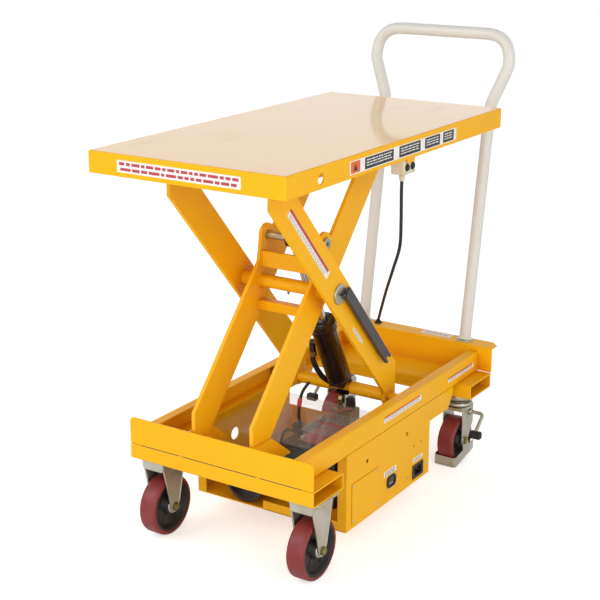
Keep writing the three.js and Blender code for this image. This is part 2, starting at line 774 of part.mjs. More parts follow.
function centreTube() {
  const tube = crossBar(BETWEEN_INNER, CENTRE, 16);
  return cut(tube, pinHole(BETWEEN_INNER, CENTRE, CENTRE_SHAFT_RADIUS));
}

function centreShaft() {
  const face = OUTER_ARM_X + ARM_THICKNESS + GAP;
  const shaft = crossBar([-face - 1, face + 1], CENTRE, CENTRE_SHAFT_RADIUS);
  const heads = [-1, 1].map((side) => crossBar(span(side, face, face + 5), CENTRE, 25, 24));
  const stud = crossBar([face + 4, LOCK.outer - LOCK.sheet - GAP], LOCK.pivot, LOCK.stud, 16);
  return join(shaft, ...heads, stud);
}

function flatBar(y, z) {
  return block(BETWEEN_INNER, y, z);
}

function rodPin() {
  const reach = INNER_ARM_X + ARM_THICKNESS;
  const pin = crossBar([-reach - 1, reach + 1], ROD_PIN, PIN_RADIUS);
  const heads = [-1, 1].map((side) => crossBar(span(side, reach + GAP, reach + 6), ROD_PIN, 15, 20));
  return join(pin, ...heads);
}

function roller([near, far], centre) {
  return (side) => {
    const half = (far - near) / 2;
    const profile = [
      [-half, PIN_RADIUS + GAP],
      [half, PIN_RADIUS + GAP],
      [half, ROLLER_RADIUS],
      [-half, ROLLER_RADIUS],
    ];
    return turned(profile, [(side * (near + far)) / 2, ...centre]);
  };
}

const UPPER_ROLLER = [152, 180];
const LOWER_ROLLER = [188, 213];

function upperShaft() {
  const centre = [ROLLER_Y, AXIS_HIGH];
  const tube = crossBar(BETWEEN_INNER, centre, 15);
  return join(tube, crossBar([-UPPER_ROLLER[1] - 1.5, UPPER_ROLLER[1] + 1.5], centre, PIN_RADIUS));
}

const SADDLE_HALF = 30; // half the length of the thin stretch that the cylinder hooks over
const SADDLE_RADIUS = 11;

function lowerShaft() {
  const centre = [ROLLER_Y, AXIS_LOW];
  const end = OUTER_ARM_X - GAP;
  const thick = [-1, 1].map((side) => crossBar(span(side, SADDLE_HALF, end), centre, 17));
  const saddle = crossBar([-SADDLE_HALF - 1, SADDLE_HALF + 1], centre, SADDLE_RADIUS);
  const stubs = [-1, 1].map((side) => crossBar(span(side, end - 1, LOWER_ROLLER[1] + 1.5), centre, PIN_RADIUS));
  return join(saddle, ...thick, ...stubs);
}

// Maintenance lock: a shallow channel hung on a stud beside the centre pivot, forked at its free end.
// The stud ends in a boss inside the channel, so the outer face is plain.
const LOCK = {
  pivot: [-77.5, 609.8],
  stud: 6,
  inner: 147,
  outer: 157,
  width: 25,
  length: 298,
  sheet: 4,
};

function lockBar() {
  const { pivot, stud, inner, outer, width, length, sheet } = LOCK;
  const half = width / 2;
  const tail = 10;
  const fork = { depth: 14, half: 6 };
  const outline = polygon([
    [-tail, -half],
    [length, -half],
    [length, -fork.half],
    [length - fork.depth, -fork.half],
    [length - fork.depth, fork.half],
    [length, fork.half],
    [length, half],
    [-tail, half],
  ]);
  const web = sidePlate(outline, [outer - sheet, outer]);
  const flanges = [-half, half - sheet].map((v) => block([inner, outer], [-tail, length], [v, v + sheet]));
  const boss = crossBar([inner, outer - 1], [0, 0], stud + 4, 16);
  const bore = crossBar([inner - 1, outer - sheet], [0, 0], stud + GAP, 16);
  const flat = cut(join(web, ...flanges, boss), bore);
  const slope = -THREE.MathUtils.radToDeg(ARM_SLOPE);
  return flat.rotate([slope, 0, 0]).translate([0, ...pivot]);
}

addPair("inner_arm", innerArm, YELLOW);
addPart("inner_centre_tube", centreTube(), YELLOW);
addPart("inner_cross_plate", flatBar([-104, -96], [648, 688]), YELLOW);
addPart("inner_cross_bar", flatBar([-119, -95], [543, 567]), YELLOW);
addPart("rod_pin", rodPin(), ZINC);
addPart("upper_cross_shaft", upperShaft(), YELLOW);
addPair("upper_roller", roller(UPPER_ROLLER, [ROLLER_Y, AXIS_HIGH]), ZINC);
addPair("outer_arm", outerArm, YELLOW);
addPart("centre_shaft", centreShaft(), ZINC);
addPart("lower_cross_shaft", lowerShaft(), YELLOW);
addPair("lower_roller", roller(LOWER_ROLLER, [ROLLER_Y, AXIS_LOW]), ZINC);
addPart("lock_bar", lockBar(), DARK_GREY);

// ---------- hydraulic cylinder ----------

// Built upright with the rod eye at the origin and the barrel below it, then turned into place.
const CYLINDER_AXIS = [ROLLER_Y - ROD_PIN[0], AXIS_LOW - ROD_PIN[1]];
const CYLINDER_LENGTH = Math.hypot(...CYLINDER_AXIS);
const GLAND_START = 268;
const BARREL_END = CYLINDER_LENGTH - 34;
const ROD_END = GLAND_START + 30;

function intoPlace(solid) {
  const lean = THREE.MathUtils.radToDeg(Math.atan2(CYLINDER_AXIS[0], -CYLINDER_AXIS[1]));
  return solid.rotate([lean, 0, 0]).translate([0, ...ROD_PIN]);
}

function cylinderRod() {
  const rod = bar([0, 0, -ROD_END], [0, 0, -16], ROD_RADIUS);
  const eye = crossBar([-17, 17], [0, 0], 22);
  return intoPlace(cut(join(rod, eye), pinHole([-17, 17], [0, 0])));
}

// The foot of the barrel is a hook whose throat faces the front of the cart: mid-stroke the lower
// shaft stands clear of it by up to 25 mm, and it sits home at both ends of the stroke.
function cylinderBarrel() {
  const tube = bar([0, 0, -BARREL_END], [0, 0, -GLAND_START], BARREL_RADIUS, 24);
  const gland = bar([0, 0, -GLAND_START - 26], [0, 0, -GLAND_START], 37, 24);
  const bore = bar([0, 0, -BARREL_END + 8], [0, 0, 1], ROD_RADIUS + GAP);
  const footHalf = 20;
  const eyeRadius = 23;
  const foot = join(
    crossBar([-footHalf, footHalf], [0, -CYLINDER_LENGTH], eyeRadius, 24),
    block([-footHalf, footHalf], [-eyeRadius, eyeRadius], [-CYLINDER_LENGTH, -BARREL_END + 2]),
  );
  const throat = block(
    [-footHalf - 1, footHalf + 1],
    [-HOOK_TRAVEL, 0],
    [-CYLINDER_LENGTH - 18.5, -CYLINDER_LENGTH + SADDLE_RADIUS + 2],
  );
  const seat = block(
    [-footHalf - 1, footHalf + 1],
    [-1, SADDLE_RADIUS + 1],
    [-CYLINDER_LENGTH - 18.5, -CYLINDER_LENGTH + SADDLE_RADIUS + 2],
  );
  return intoPlace(cut(join(tube, gland, foot), bore, throat, seat));
}

addPart("cylinder_rod", cylinderRod(), CHROME);
addPart("cylinder_barrel", cylinderBarrel(), BLACK);

// ---------- platform ----------

const DECK_UNDERSIDE = DECK_TOP - DECK_SHEET;
const DECK_FIXING = DECK_UNDERSIDE - GAP;

function deck() {
  const half = [DECK_WIDTH / 2, DECK_LENGTH / 2];
  const shell = block([-half[0], half[0]], [-half[1], half[1]], [DECK_TOP - SKIRT_HEIGHT, DECK_TOP]);
  const hollow = block(
    [-half[0] + DECK_SHEET, half[0] - DECK_SHEET],
    [-half[1] + DECK_SHEET, half[1] - DECK_SHEET],
    [DECK_TOP - SKIRT_HEIGHT - 1, DECK_UNDERSIDE],
  );
  const skirtHole = crossBar([half[0] - DECK_SHEET - 1, half[0] + 1], [-373, 952], 12);
  return cut(shell, hollow, skirtHole);
}

// Channel under the platform in which the upper roller runs.
function deckTrack(side) {
  const inner = 146;
  const outer = 186;
  const along = [-480, 496];
  const lower = [925.1, 929.1];
  const web = block(span(side, outer - 4, outer), along, [lower[0], DECK_FIXING]);
  const top = block(span(side, inner, outer), along, [DECK_FIXING - 4, DECK_FIXING]);
  const floor = block(span(side, inner, outer), along, lower);
  return join(web, top, floor);
}

function deckHinge(side) {
  const pivot = [HINGE_Y, AXIS_HIGH];
  const cheek = span(side, OUTER_ARM_X - GAP - 12, OUTER_ARM_X - GAP);
  const face = OUTER_ARM_X + ARM_THICKNESS;
  return join(
    sidePlate(disc(pivot, 22), cheek),
    block(cheek, [HINGE_Y - 30, HINGE_Y + 30], [AXIS_HIGH + 6, DECK_FIXING]),
    crossBar(span(side, OUTER_ARM_X - 14, face + 1), pivot, PIN_RADIUS),
    crossBar(span(side, face + GAP, face + 4), pivot, 14),
  );
}

// Control box under the right skirt.
const BOX = { x: [216, 252], y: [0, 54], z: [890, 929.6] };
const BUTTON = { radius: 7, travel: 3, z: 908 };

function controlBox() {
  const body = block(BOX.x, BOX.y, BOX.z);
  const tab = block([BOX.x[1] - 3, BOX.x[1] + 3.6], [BOX.y[0] + 8, BOX.y[1] - 8], [BOX.z[1] - 12, 960]);
  const funnel = bar([232, 27, 872], [232, 27, BOX.z[0] + 1], 9, 20);
  const wells = [14, 40].map((y) => crossBar([BOX.x[1] - 7, BOX.x[1] + 1], [y, BUTTON.z], BUTTON.radius + GAP, 20));
  return cut(join(body, tab, funnel), ...wells);
}

function button(y) {
  const back = BOX.x[1] - 7 + BUTTON.travel + GAP;
  return crossBar([back, BOX.x[1] + BUTTON.travel + 1.5], [y, BUTTON.z], BUTTON.radius, 20);
}

addPart("deck", deck(), YELLOW);
addPair("deck_track", deckTrack, YELLOW);
addPair("deck_hinge", deckHinge, YELLOW);
addPart("control_box", controlBox(), GREY_PLASTIC);
addPart("button_down", button(14), BLACK);
addPart("button_up", button(40), BLACK);

export default root;
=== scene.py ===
"""Looks of the scissor lift table: a steel platform on crossed arms over a wheeled base."""

import json
import math
import random

import bmesh
import bpy
from mathutils import Matrix, Vector


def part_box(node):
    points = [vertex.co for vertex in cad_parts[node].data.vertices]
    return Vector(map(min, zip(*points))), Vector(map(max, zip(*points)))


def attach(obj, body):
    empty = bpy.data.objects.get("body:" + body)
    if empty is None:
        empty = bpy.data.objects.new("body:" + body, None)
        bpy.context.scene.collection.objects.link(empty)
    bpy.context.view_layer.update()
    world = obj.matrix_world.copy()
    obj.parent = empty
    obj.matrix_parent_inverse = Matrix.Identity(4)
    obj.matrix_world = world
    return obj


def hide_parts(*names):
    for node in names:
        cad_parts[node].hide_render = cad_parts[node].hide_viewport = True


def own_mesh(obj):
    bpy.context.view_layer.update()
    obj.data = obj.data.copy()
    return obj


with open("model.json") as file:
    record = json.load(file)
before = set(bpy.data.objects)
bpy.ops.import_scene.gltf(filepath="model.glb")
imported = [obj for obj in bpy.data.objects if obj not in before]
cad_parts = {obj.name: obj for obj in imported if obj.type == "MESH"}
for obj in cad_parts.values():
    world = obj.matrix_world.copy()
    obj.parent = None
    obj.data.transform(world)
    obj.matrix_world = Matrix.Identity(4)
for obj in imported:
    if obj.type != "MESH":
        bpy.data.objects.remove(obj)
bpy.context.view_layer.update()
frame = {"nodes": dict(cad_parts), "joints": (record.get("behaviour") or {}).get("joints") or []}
dice = random.Random(7)

# ---------- places ----------
# Shapes are drawn in millimetres, with y counted from the middle of the platform.

MM = 0.001
DECK_LOW, DECK_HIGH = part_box("deck")
MID_Y = (DECK_LOW.y + DECK_HIGH.y) / 2
JOINTS = {j["name"]: j for j in frame["joints"]}
SIDES = (("left", -1), ("right", 1))
ORIGIN = (0, 0, 0)
X, Y, Z = (1, 0, 0), (0, 1, 0), (0, 0, 1)
DOWN = (0, 0, -1)


def span(node):
    """[(x0, x1), (y0, y1), (z0, z1)] of a CAD node, in drawing millimetres."""
    lo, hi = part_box(node)
    shift = (0, MID_Y, 0)
    return [((lo[i] - shift[i]) / MM, (hi[i] - shift[i]) / MM) for i in range(3)]


def pivot(joint):
    """(y, z) of a hinge, in drawing millimetres."""
    _, y, z = JOINTS[joint]["pos_m"]
    return ((y - MID_Y) / MM, z / MM)


def mid(pair):
    return (pair[0] + pair[1]) / 2


def sided(s, near, far):
    """The x range between two distances from the middle, on the side with sign s."""
    return (near, far) if s > 0 else (-far, -near)


def about(value, half):
    return (value - half, value + half)


# ---------- outlines ----------


def arc(centre, radius, start, end, steps=12):
    """Points on an arc, angles in degrees."""
    out = []
    for i in range(steps + 1):
        a = math.radians(start + (end - start) * i / steps)
        out.append((centre[0] + radius * math.cos(a), centre[1] + radius * math.sin(a)))
    return out


def round_box(u, v, r, steps=6):
    """A rectangle over two ranges with corners of radius r."""
    left, right, low, high = u[0] + r, u[1] - r, v[0] + r, v[1] - r
    corners = ((right, low), (right, high), (left, high), (left, low))
    return [p for k, at in enumerate(corners) for p in arc(at, r, 90 * k - 90, 90 * k, steps)]


def circle(centre, radius, steps=32):
    return arc(centre, radius, 0, 360 - 360 / steps, steps - 1)


# ---------- solids, each made as a bmesh in drawing millimetres ----------

AXES = {
    "x": Matrix(((0, 0, 1, 0), (1, 0, 0, 0), (0, 1, 0, 0), (0, 0, 0, 1))),
    "y": Matrix(((1, 0, 0, 0), (0, 0, -1, 0), (0, 1, 0, 0), (0, 0, 0, 1))),
    "z": Matrix.Identity(4),
}


def bevel_sharp(bm, width, segments=2, angle=32):
    limit = math.radians(angle)
    edges = [e for e in bm.edges if len(e.link_faces) == 2 and e.calc_face_angle(0) > limit]
    settings = {"offset": width, "segments": segments, "profile": 0.5, "affect": "EDGES"}
    if edges and width > 0:
        bmesh.ops.bevel(bm, geom=edges, clamp_overlap=True, **settings)
    return bm


def plate(outline, low, high, axis="x", holes=(), bevel=1.0, segments=2):
    """A flat plate: outline in the plane across axis, from low to high along it."""
    curve = bpy.data.curves.new("outline", "CURVE")
    curve.dimensions = "2D"
    curve.fill_mode = "BOTH"
    bevel = min(bevel, (high - low) * 0.45)
    curve.extrude = (high - low) / 2 - bevel
    curve.bevel_depth = bevel
    curve.bevel_resolution = segments - 1
    curve.offset = -bevel
    for loop in [outline, *holes]:
        spline = curve.splines.new("POLY")
        spline.points.add(len(loop) - 1)
        spline.use_cyclic_u = True
        for point, (u, v) in zip(spline.points, loop):
            point.co = (u, v, 0, 1)
    holder = bpy.data.objects.new("outline", curve)
    bm = bmesh.new()
    bm.from_mesh(holder.to_mesh())
    holder.to_mesh_clear()
    bpy.data.objects.remove(holder)
    bpy.data.curves.remove(curve)
    bmesh.ops.remove_doubles(bm, verts=bm.verts, dist=1e-3)
    middle = (low + high) / 2
    shift = {"x": (middle, 0, 0), "y": (0, middle, 0), "z": (0, 0, middle)}[axis]
    bm.transform(Matrix.Translation(shift) @ AXES[axis])
    bmesh.ops.recalc_face_normals(bm, faces=bm.faces)
    return bm


def cuboid(x, y, z):
    bm = bmesh.new()
    bmesh.ops.create_cube(bm, size=1)
    size = [abs(r[1] - r[0]) for r in (x, y, z)]
    bm.transform(Matrix.Translation((mid(x), mid(y), mid(z))) @ Matrix.Diagonal((*size, 1)))
    return bm


def box(x, y, z, bevel=1.0, segments=2):
    """A cuboid over three ranges with rounded edges."""
    thinnest = min(abs(r[1] - r[0]) for r in (x, y, z))
    return bevel_sharp(cuboid(x, y, z), min(bevel, thinnest * 0.45), segments)


def turned(profile, centre, along=X, steps=48):
    """A shape of revolution: profile points are (offset along the axis, radius)."""
    bm = bmesh.new()
    rings = []
    for offset, radius in profile:
        if radius < 1e-6:
            rings.append([bm.verts.new((offset, 0, 0))])
            continue
        loop = []
        for i in range(steps):
            a = 2 * math.pi * i / steps
            loop.append(bm.verts.new((offset, radius * math.cos(a), radius * math.sin(a))))
        rings.append(loop)
    for first, second in zip(rings, rings[1:] + rings[:1]):
        if len(first) == 1 and len(second) == 1:
            continue
        for i in range(steps):
            j = (i + 1) % steps
            if len(first) == 1:
                bm.faces.new((first[0], second[j], second[i]))
            elif len(second) == 1:
                bm.faces.new((first[i], first[j], second[0]))
            else:
                bm.faces.new((first[i], first[j], second[j], second[i]))
    turn = Vector(X).rotation_difference(Vector(along)).to_matrix().to_4x4()
    bm.transform(Matrix.Translation(centre) @ turn)
    bmesh.ops.recalc_face_normals(bm, faces=bm.faces)
    return bm


def rod(start, end, radius, chamfer=1.0, steps=40, bore=0):
    """A round bar with chamfered ends, hollow if it has a bore."""
    start, end = Vector(start), Vector(end)
    length = (end - start).length
    c = min(chamfer, length * 0.4, radius * 0.4)
    profile = [(0, bore), (0, radius - c), (c * 0.3, radius - c * 0.3), (c, radius)]
    profile += [(length - x, r) for x, r in reversed(profile)]
    return turned(profile, start, end - start, steps)


def bar_x(reach, at, radius, chamfer=1.0, steps=40, bore=0):
    """A round bar across the cart, over a range of x, at (y, z)."""
    return rod((reach[0], *at), (reach[1], *at), radius, chamfer, steps, bore)


def bent(corners, radii, steps=10):
    """A path through corners with smooth bends."""
    points = [Vector(c) for c in corners]
    out = [points[0]]
    for i, radius in zip(range(1, len(points) - 1), radii):
        back = (points[i - 1] - points[i]).normalized()
        ahead = (points[i + 1] - points[i]).normalized()
        reach = radius / math.tan(back.angle(ahead) / 2)
        a, b = points[i] + back * reach, points[i] + ahead * reach
        for k in range(steps + 1):
            t = k / steps
            out.append(a * (1 - t) ** 2 + points[i] * 2 * t * (1 - t) + b * t * t)
    out.append(points[-1])
    return out


def smooth_path(points, steps=10):
    """A Catmull-Rom path through points."""
    p = [Vector(q) for q in points]
    p = [p[0] * 2 - p[1], *p, p[-1] * 2 - p[-2]]
    out = []
    for a, b, c, d in zip(p, p[1:], p[2:], p[3:]):
        for k in range(steps):
            t = k / steps
            slope = (c - a) * t
            curve = (2 * a - 5 * b + 4 * c - d) * t * t
            twist = (3 * b - a - 3 * c + d) * t**3
            out.append(0.5 * (2 * b + slope + curve + twist))
    out.append(p[-2])
    return out


def swept(path, radius, steps=16):
    """A round bar along a path of points, closed at both ends."""
    bm = bmesh.new()
    path = [Vector(p) for p in path]
    n = len(path)
    tangent = (path[1] - path[0]).normalized()
    side = tangent.orthogonal().normalized()
    rings = []
    for i, point in enumerate(path):
        ahead = path[min(i + 1, n - 1)] - path[i]
        back = path[i] - path[max(i - 1, 0)]
        new = (ahead.normalized() + back.normalized()).normalized()
        side = tangent.rotation_difference(new) @ side
        side = (side - new * side.dot(new)).normalized()
        tangent = new
        up = tangent.cross(side)
        r = radius(i / (n - 1)) if callable(radius) else radius
        loop = []
        for k in range(steps):
            a = 2 * math.pi * k / steps
            loop.append(bm.verts.new(point + side * (r * math.cos(a)) + up * (r * math.sin(a))))
        rings.append(loop)
    for a, b in zip(rings, rings[1:]):
        for k in range(steps):
            bm.faces.new((a[k], a[(k + 1) % steps], b[(k + 1) % steps], b[k]))
    bm.faces.new(rings[0])
    bm.faces.new(rings[-1])
    bmesh.ops.recalc_face_normals(bm, faces=bm.faces)
    return bm


def bead(points, radius=2.4):
    """A weld bead along a straight run of points."""
    path = []
    for a, b in zip(points, points[1:]):
        a, b = Vector(a), Vector(b)
        steps = max(2, int((b - a).length / 4))
        path += [a.lerp(b, i / steps) for i in range(steps)]
    path.append(Vector(points[-1]))
    phase = dice.uniform(0, 6)
    n = len(path)
    return swept(path, lambda t: radius * (0.85 + 0.22 * math.sin(t * n * 1.7 + phase)), 8)


RING_STEPS = 40


def ring(x, centre, out, radius, tube=2.2):
    """A weld bead round a bar across the cart, on one side of an arm."""
    path = []
    for i in range(RING_STEPS + 1):
        a = 2 * math.pi * i / RING_STEPS
        r = radius + 0.35 * math.sin(i * 2.9)
        path.append((x + out * 0.4, centre[0] + r * math.cos(a), centre[1] + r * math.sin(a)))
    return swept(path, tube, 8)


def hoop(radius, z, tube):
    """A weld bead round an upright bar at the origin."""
    angles = [2 * math.pi * i / RING_STEPS for i in range(RING_STEPS + 1)]
    return swept([(radius * math.cos(a), radius * math.sin(a), z) for a in angles], tube, 8)


def held(bm):
    """An object that carries a solid while modifiers work on it."""
    mesh = bpy.data.meshes.new("held")
    bm.to_mesh(mesh)
    o = bpy.data.objects.new("held", mesh)
    bpy.context.scene.collection.objects.link(o)
    return o


def baked(holder):
    """The solid that the holder's modifiers leave. The holder goes."""
    bpy.context.view_layer.update()
    out = bmesh.new()
    out.from_mesh(holder.evaluated_get(bpy.context.evaluated_depsgraph_get()).to_mesh())
    bpy.data.objects.remove(holder)
    return out


def thickened(bm, thickness, offset):
    """Sheet made from a surface: all behind it for offset -1, half on each side for 0."""
    holder = held(bm)
    sheet = holder.modifiers.new("sheet", "SOLIDIFY")
    sheet.thickness = thickness
    sheet.offset = offset
    return baked(holder)


def carve(bm, *tools):
    """The solid with the tools cut away."""
    whole = held(bm)
    cutters = [held(tool) for tool in tools]
    for cutter in cutters:
        modifier = whole.modifiers.new("cut", "BOOLEAN")
        modifier.operation = "DIFFERENCE"
        modifier.solver = "EXACT"
        modifier.object = cutter
    out = baked(whole)
    for cutter in cutters:
        bpy.data.objects.remove(cutter)
    return out


def refined(node, bevel=1.0):
    """The CAD node's own shape with its edges rounded."""
    bm = bmesh.new()
    bm.from_mesh(frame["nodes"][node].data)
    bm.transform(Matrix.Diagonal((1 / MM, 1 / MM, 1 / MM, 1)) @ Matrix.Translation((0, -MID_Y, 0)))
    bmesh.ops.remove_doubles(bm, verts=bm.verts, dist=1e-3)
    bmesh.ops.dissolve_limit(bm, angle_limit=math.radians(1), verts=bm.verts, edges=bm.edges)
    return bevel_sharp(bm, bevel)


def bolt(at, along, across=9, head=6, washer=0):
    """A hexagon head, with its chamfer, standing on a face at a point."""
    r = across / math.cos(math.radians(30)) / 2
    out = [turned([(0, 0), (0, r), (head * 0.82, r), (head, r * 0.86), (head, 0)], at, along, 6)]
    if washer:
        out.append(turned([(0, 0), (0, washer), (1.2, washer - 0.3), (1.4, 0)], at, along, 32))
    return out


def screw(at, along=X, radius=4, head=2.2):
    """A low domed head."""
    dome = [(0, 0), (0, radius), (head * 0.5, radius * 0.93), (head * 0.85, radius * 0.7), (head, 0)]
    return turned(dome, at, along, 24)


# ---------- materials ----------

WHITE = (1, 1, 1, 1)


class Nodes:
    """A node tree. Each method adds nodes and returns a socket, but node returns the node."""

    def __init__(self, tree):
        self.tree = tree

    def node(self, kind, inputs=None, **settings):
        made = self.tree.nodes.new(kind)
        for key, value in settings.items():
            setattr(made, key, value)
        for key, value in (inputs or {}).items():
            self.put(made.inputs[key], value)
        return made

    def put(self, socket, value):
        if isinstance(value, bpy.types.NodeSocket):
            self.tree.links.new(value, socket)
        else:
            socket.default_value = value

    def ramp(self, value, low, high, out_low=0.0, out_high=1.0):
        inputs = {0: value, 1: low, 2: high, 3: out_low, 4: out_high}
        return self.node("ShaderNodeMapRange", inputs).outputs[0]

    def times(self, a, b):
        return self.node("ShaderNodeMath", {0: a, 1: b}, operation="MULTIPLY").outputs[0]

    def seen(self):
        """1 for what the camera sees directly, else 0."""
        return self.node("ShaderNodeLightPath").outputs["Is Camera Ray"]


class Shader(Nodes):
    """The nodes of a new material."""

    def __init__(self, name):
        self.material = bpy.data.materials.new(name)
        self.material.use_nodes = True
        super().__init__(self.material.node_tree)
        self.main = self.tree.nodes["Principled BSDF"]
        self.place = self.node("ShaderNodeTexCoord").outputs["Object"]

    def noise(self, scale, detail=3, stretch=None):
        where = self.place
        if stretch:
            where = self.node("ShaderNodeMapping", {"Vector": where, "Scale": stretch}).outputs[0]
        made = self.node("ShaderNodeTexNoise", {"Vector": where, "Scale": scale, "Detail": detail})
        return made.outputs[0]

    def mix(self, share, a, b):
        return self.node("ShaderNodeMix", {0: share, 6: a, 7: b}, data_type="RGBA").outputs[2]

    def crevice(self, distance):
        """Ambient occlusion mask for painted shade: 1 in tight corners, 0 in the open."""
        made = self.node("ShaderNodeAmbientOcclusion", {"Distance": distance}, samples=6)
        return self.ramp(made.outputs["AO"], 0.85, 0.25)

    def bump(self, height, distance, strength=1.0, below=None):
        inputs = {"Height": height, "Distance": distance, "Strength": strength}
        if below:
            inputs["Normal"] = below
        return self.node("ShaderNodeBump", inputs).outputs[0]

    def done(self, **inputs):
        for key, value in inputs.items():
            self.put(self.main.inputs[key.replace("_", " ")], value)
        return self.material


def rgb(text):
    """A linear colour from a hexadecimal sRGB one."""
    out = []
    for i in (0, 2, 4):
        c = int(text[i : i + 2], 16) / 255
        out.append(c / 12.92 if c <= 0.04045 else ((c + 0.055) / 1.055) ** 2.4)
    return (*out, 1)


def shade(color, k):
    return (*[c * k for c in color[:3]], 1)


def paint(name, color, rough, corner, coat=0.0, coat_ior=1.5, specular=0.5):
    """Powder coat: soft colour drift, orange peel, fine dust, and painted shade that darkens the corners.
    """
    s = Shader(name)
    color = rgb(color)
    base = s.mix(s.ramp(s.noise(3), 0.35, 0.65), shade(color, 0.965), color)
    dust = s.times(s.ramp(s.noise(60, 8), 0.56, 0.8), 0.16)
    base = s.mix(dust, base, shade(color, 0.8))
    # Painted shade: the corner colour is mixed in where ambient occlusion finds tight corners.
    base = s.mix(s.times(s.crevice(0.05), 0.75), base, rgb(corner))
    scuff = s.ramp(s.noise(14, 9, (1, 0.35, 1)), 0.6, 0.78)
    grain = s.bump(s.noise(420, 2), 0.00006, 0.5)
    return s.done(
        Base_Color=base,
        Roughness=s.ramp(scuff, 0, 1, rough, rough + 0.16),
        Normal=s.bump(s.noise(9, 2), 0.0006, 0.12, grain),
        Coat_Weight=coat,
        Coat_Roughness=0.07,
        Coat_IOR=coat_ior,
        Specular_IOR_Level=specular,
    )


def plated(name, color, tint, rough, grain=700, metallic=0.92, stretch=(1, 1, 0.15)):
    """Plated or bare steel: drawn streaks, tinted patches and painted shade in the corners."""
    s = Shader(name)
    color, tint = rgb(color), rgb(tint)
    base = s.mix(s.ramp(s.noise(16, 5), 0.42, 0.66), color, tint)
    streak = s.noise(grain, 3, stretch)
    base = s.mix(s.ramp(streak, 0.3, 0.7, 0, 0.22), base, shade(color, 0.72))
    # Painted shade: a dark tint mixed in where ambient occlusion finds tight corners.
    base = s.mix(s.times(s.crevice(0.02), 0.8), base, shade(tint, 0.3))
    rough = s.ramp(s.noise(45, 7), 0.3, 0.7, rough - 0.08, rough + 0.12)
    return s.done(
        Base_Color=base, Metallic=metallic, Roughness=rough, Normal=s.bump(streak, 0.00008, 0.4)
    )


def moulded(name, color, rough, texture=900, height=0.00006, mottle=0.12, corner_shade=0.6):
    """Moulded plastic, rubber or cast polyurethane, with painted shade in the corners."""
    s = Shader(name)
    color = rgb(color)
    base = s.mix(s.ramp(s.noise(30, 6), 0.35, 0.7), color, shade(color, 1 + mottle * 3))
    # Painted shade: darker in tight corners, found by ambient occlusion.
    base = s.mix(s.times(s.crevice(0.012), corner_shade), base, shade(color, 0.35))
    rough = s.ramp(s.noise(50, 6), 0.3, 0.7, rough - 0.06, rough + 0.1)
    return s.done(Base_Color=base, Roughness=rough, Normal=s.bump(s.noise(texture, 2), height, 0.6))


def ink(name, color, mottle=0.05, rough=0.35):
    return moulded(name, color, rough, 1500, 0.00002, mottle, 0.2)


def clear_sheet():
    """Clear folded plastic with a grey tint, brighter at grazing angles and scuffed."""
    s = Shader("clear_sheet")
    edge = s.node("ShaderNodeLayerWeight", {"Blend": 0.35}).outputs["Facing"]
    return s.done(
        Base_Color=s.mix(s.noise(6), rgb("B9B3AA"), rgb("CFCAC2")),
        Roughness=s.ramp(s.noise(25, 7), 0.45, 0.8, 0.04, 0.22),
        Alpha=s.ramp(edge, 0.2, 1.0, 0.03, 0.3),
        Normal=s.bump(s.noise(5, 1), 0.002, 0.3),
        Coat_Weight=0.6,
    )


# The fourth colour of each paint is its painted shade for the corners.
YELLOW = paint("yellow_powder_coat", "FBB90F", 0.4, "D97F05", coat=0.06, specular=0.2)
DECK_COAT = paint("glossy_yellow_coat", "FBB90F", 0.3, "D97F05", coat=1.0, coat_ior=1.62)
CREAM = paint("cream_powder_coat", "E3E1DA", 0.36, "BDB8AC", coat=0.2)
GREY = paint("grey_powder_coat", "4E4D50", 0.5, "2C2C2E", specular=0.35)
BLACK_PAINT = paint("black_enamel", "15110E", 0.2, "0A0908", coat=0.8)
ZINC = plated("zinc_plate", "D6D8D2", "C2BEA4", 0.34)
BRASSY = plated("yellow_zinc", "A79F6E", "8A7C45", 0.38)
CHROME = plated("hard_chrome", "E4E4E6", "D6D6DA", 0.12, 1200, 1.0, (1, 1, 1))
TREAD = moulded("red_polyurethane", "7E2B2A", 0.42, 500, 0.00008, 0.10, 0.5)
HUB = moulded("black_hub", "211F1C", 0.42, 700, 0.0001, 0.25)
PLASTIC = moulded("black_plastic", "201F1E", 0.45, 1400, 0.00005, 0.2)
RUBBER = moulded("black_rubber", "1B1A19", 0.62, 800, 0.0001, 0.2)
BEIGE = moulded("beige_plastic", "DACFB4", 0.42, 1200, 0.00005, 0.02, 0.4)
TANK = moulded("tank_plastic", "8A6238", 0.3, 40, 0.0012, 0.22, 0.5)
WHITE_VINYL = ink("white_vinyl", "EFEDE8", 0.02, 0.3)
RED_INK = ink("red_ink", "B8404A")
BLACK_INK = ink("black_ink", "2A2829", 0.1)
GREY_INK = ink("grey_ink", "8E8C8C")
ORANGE_INK = ink("orange_ink", "D8662A")
CLEAR = clear_sheet()

# ---------- pieces ----------

SHARP = math.radians(47)


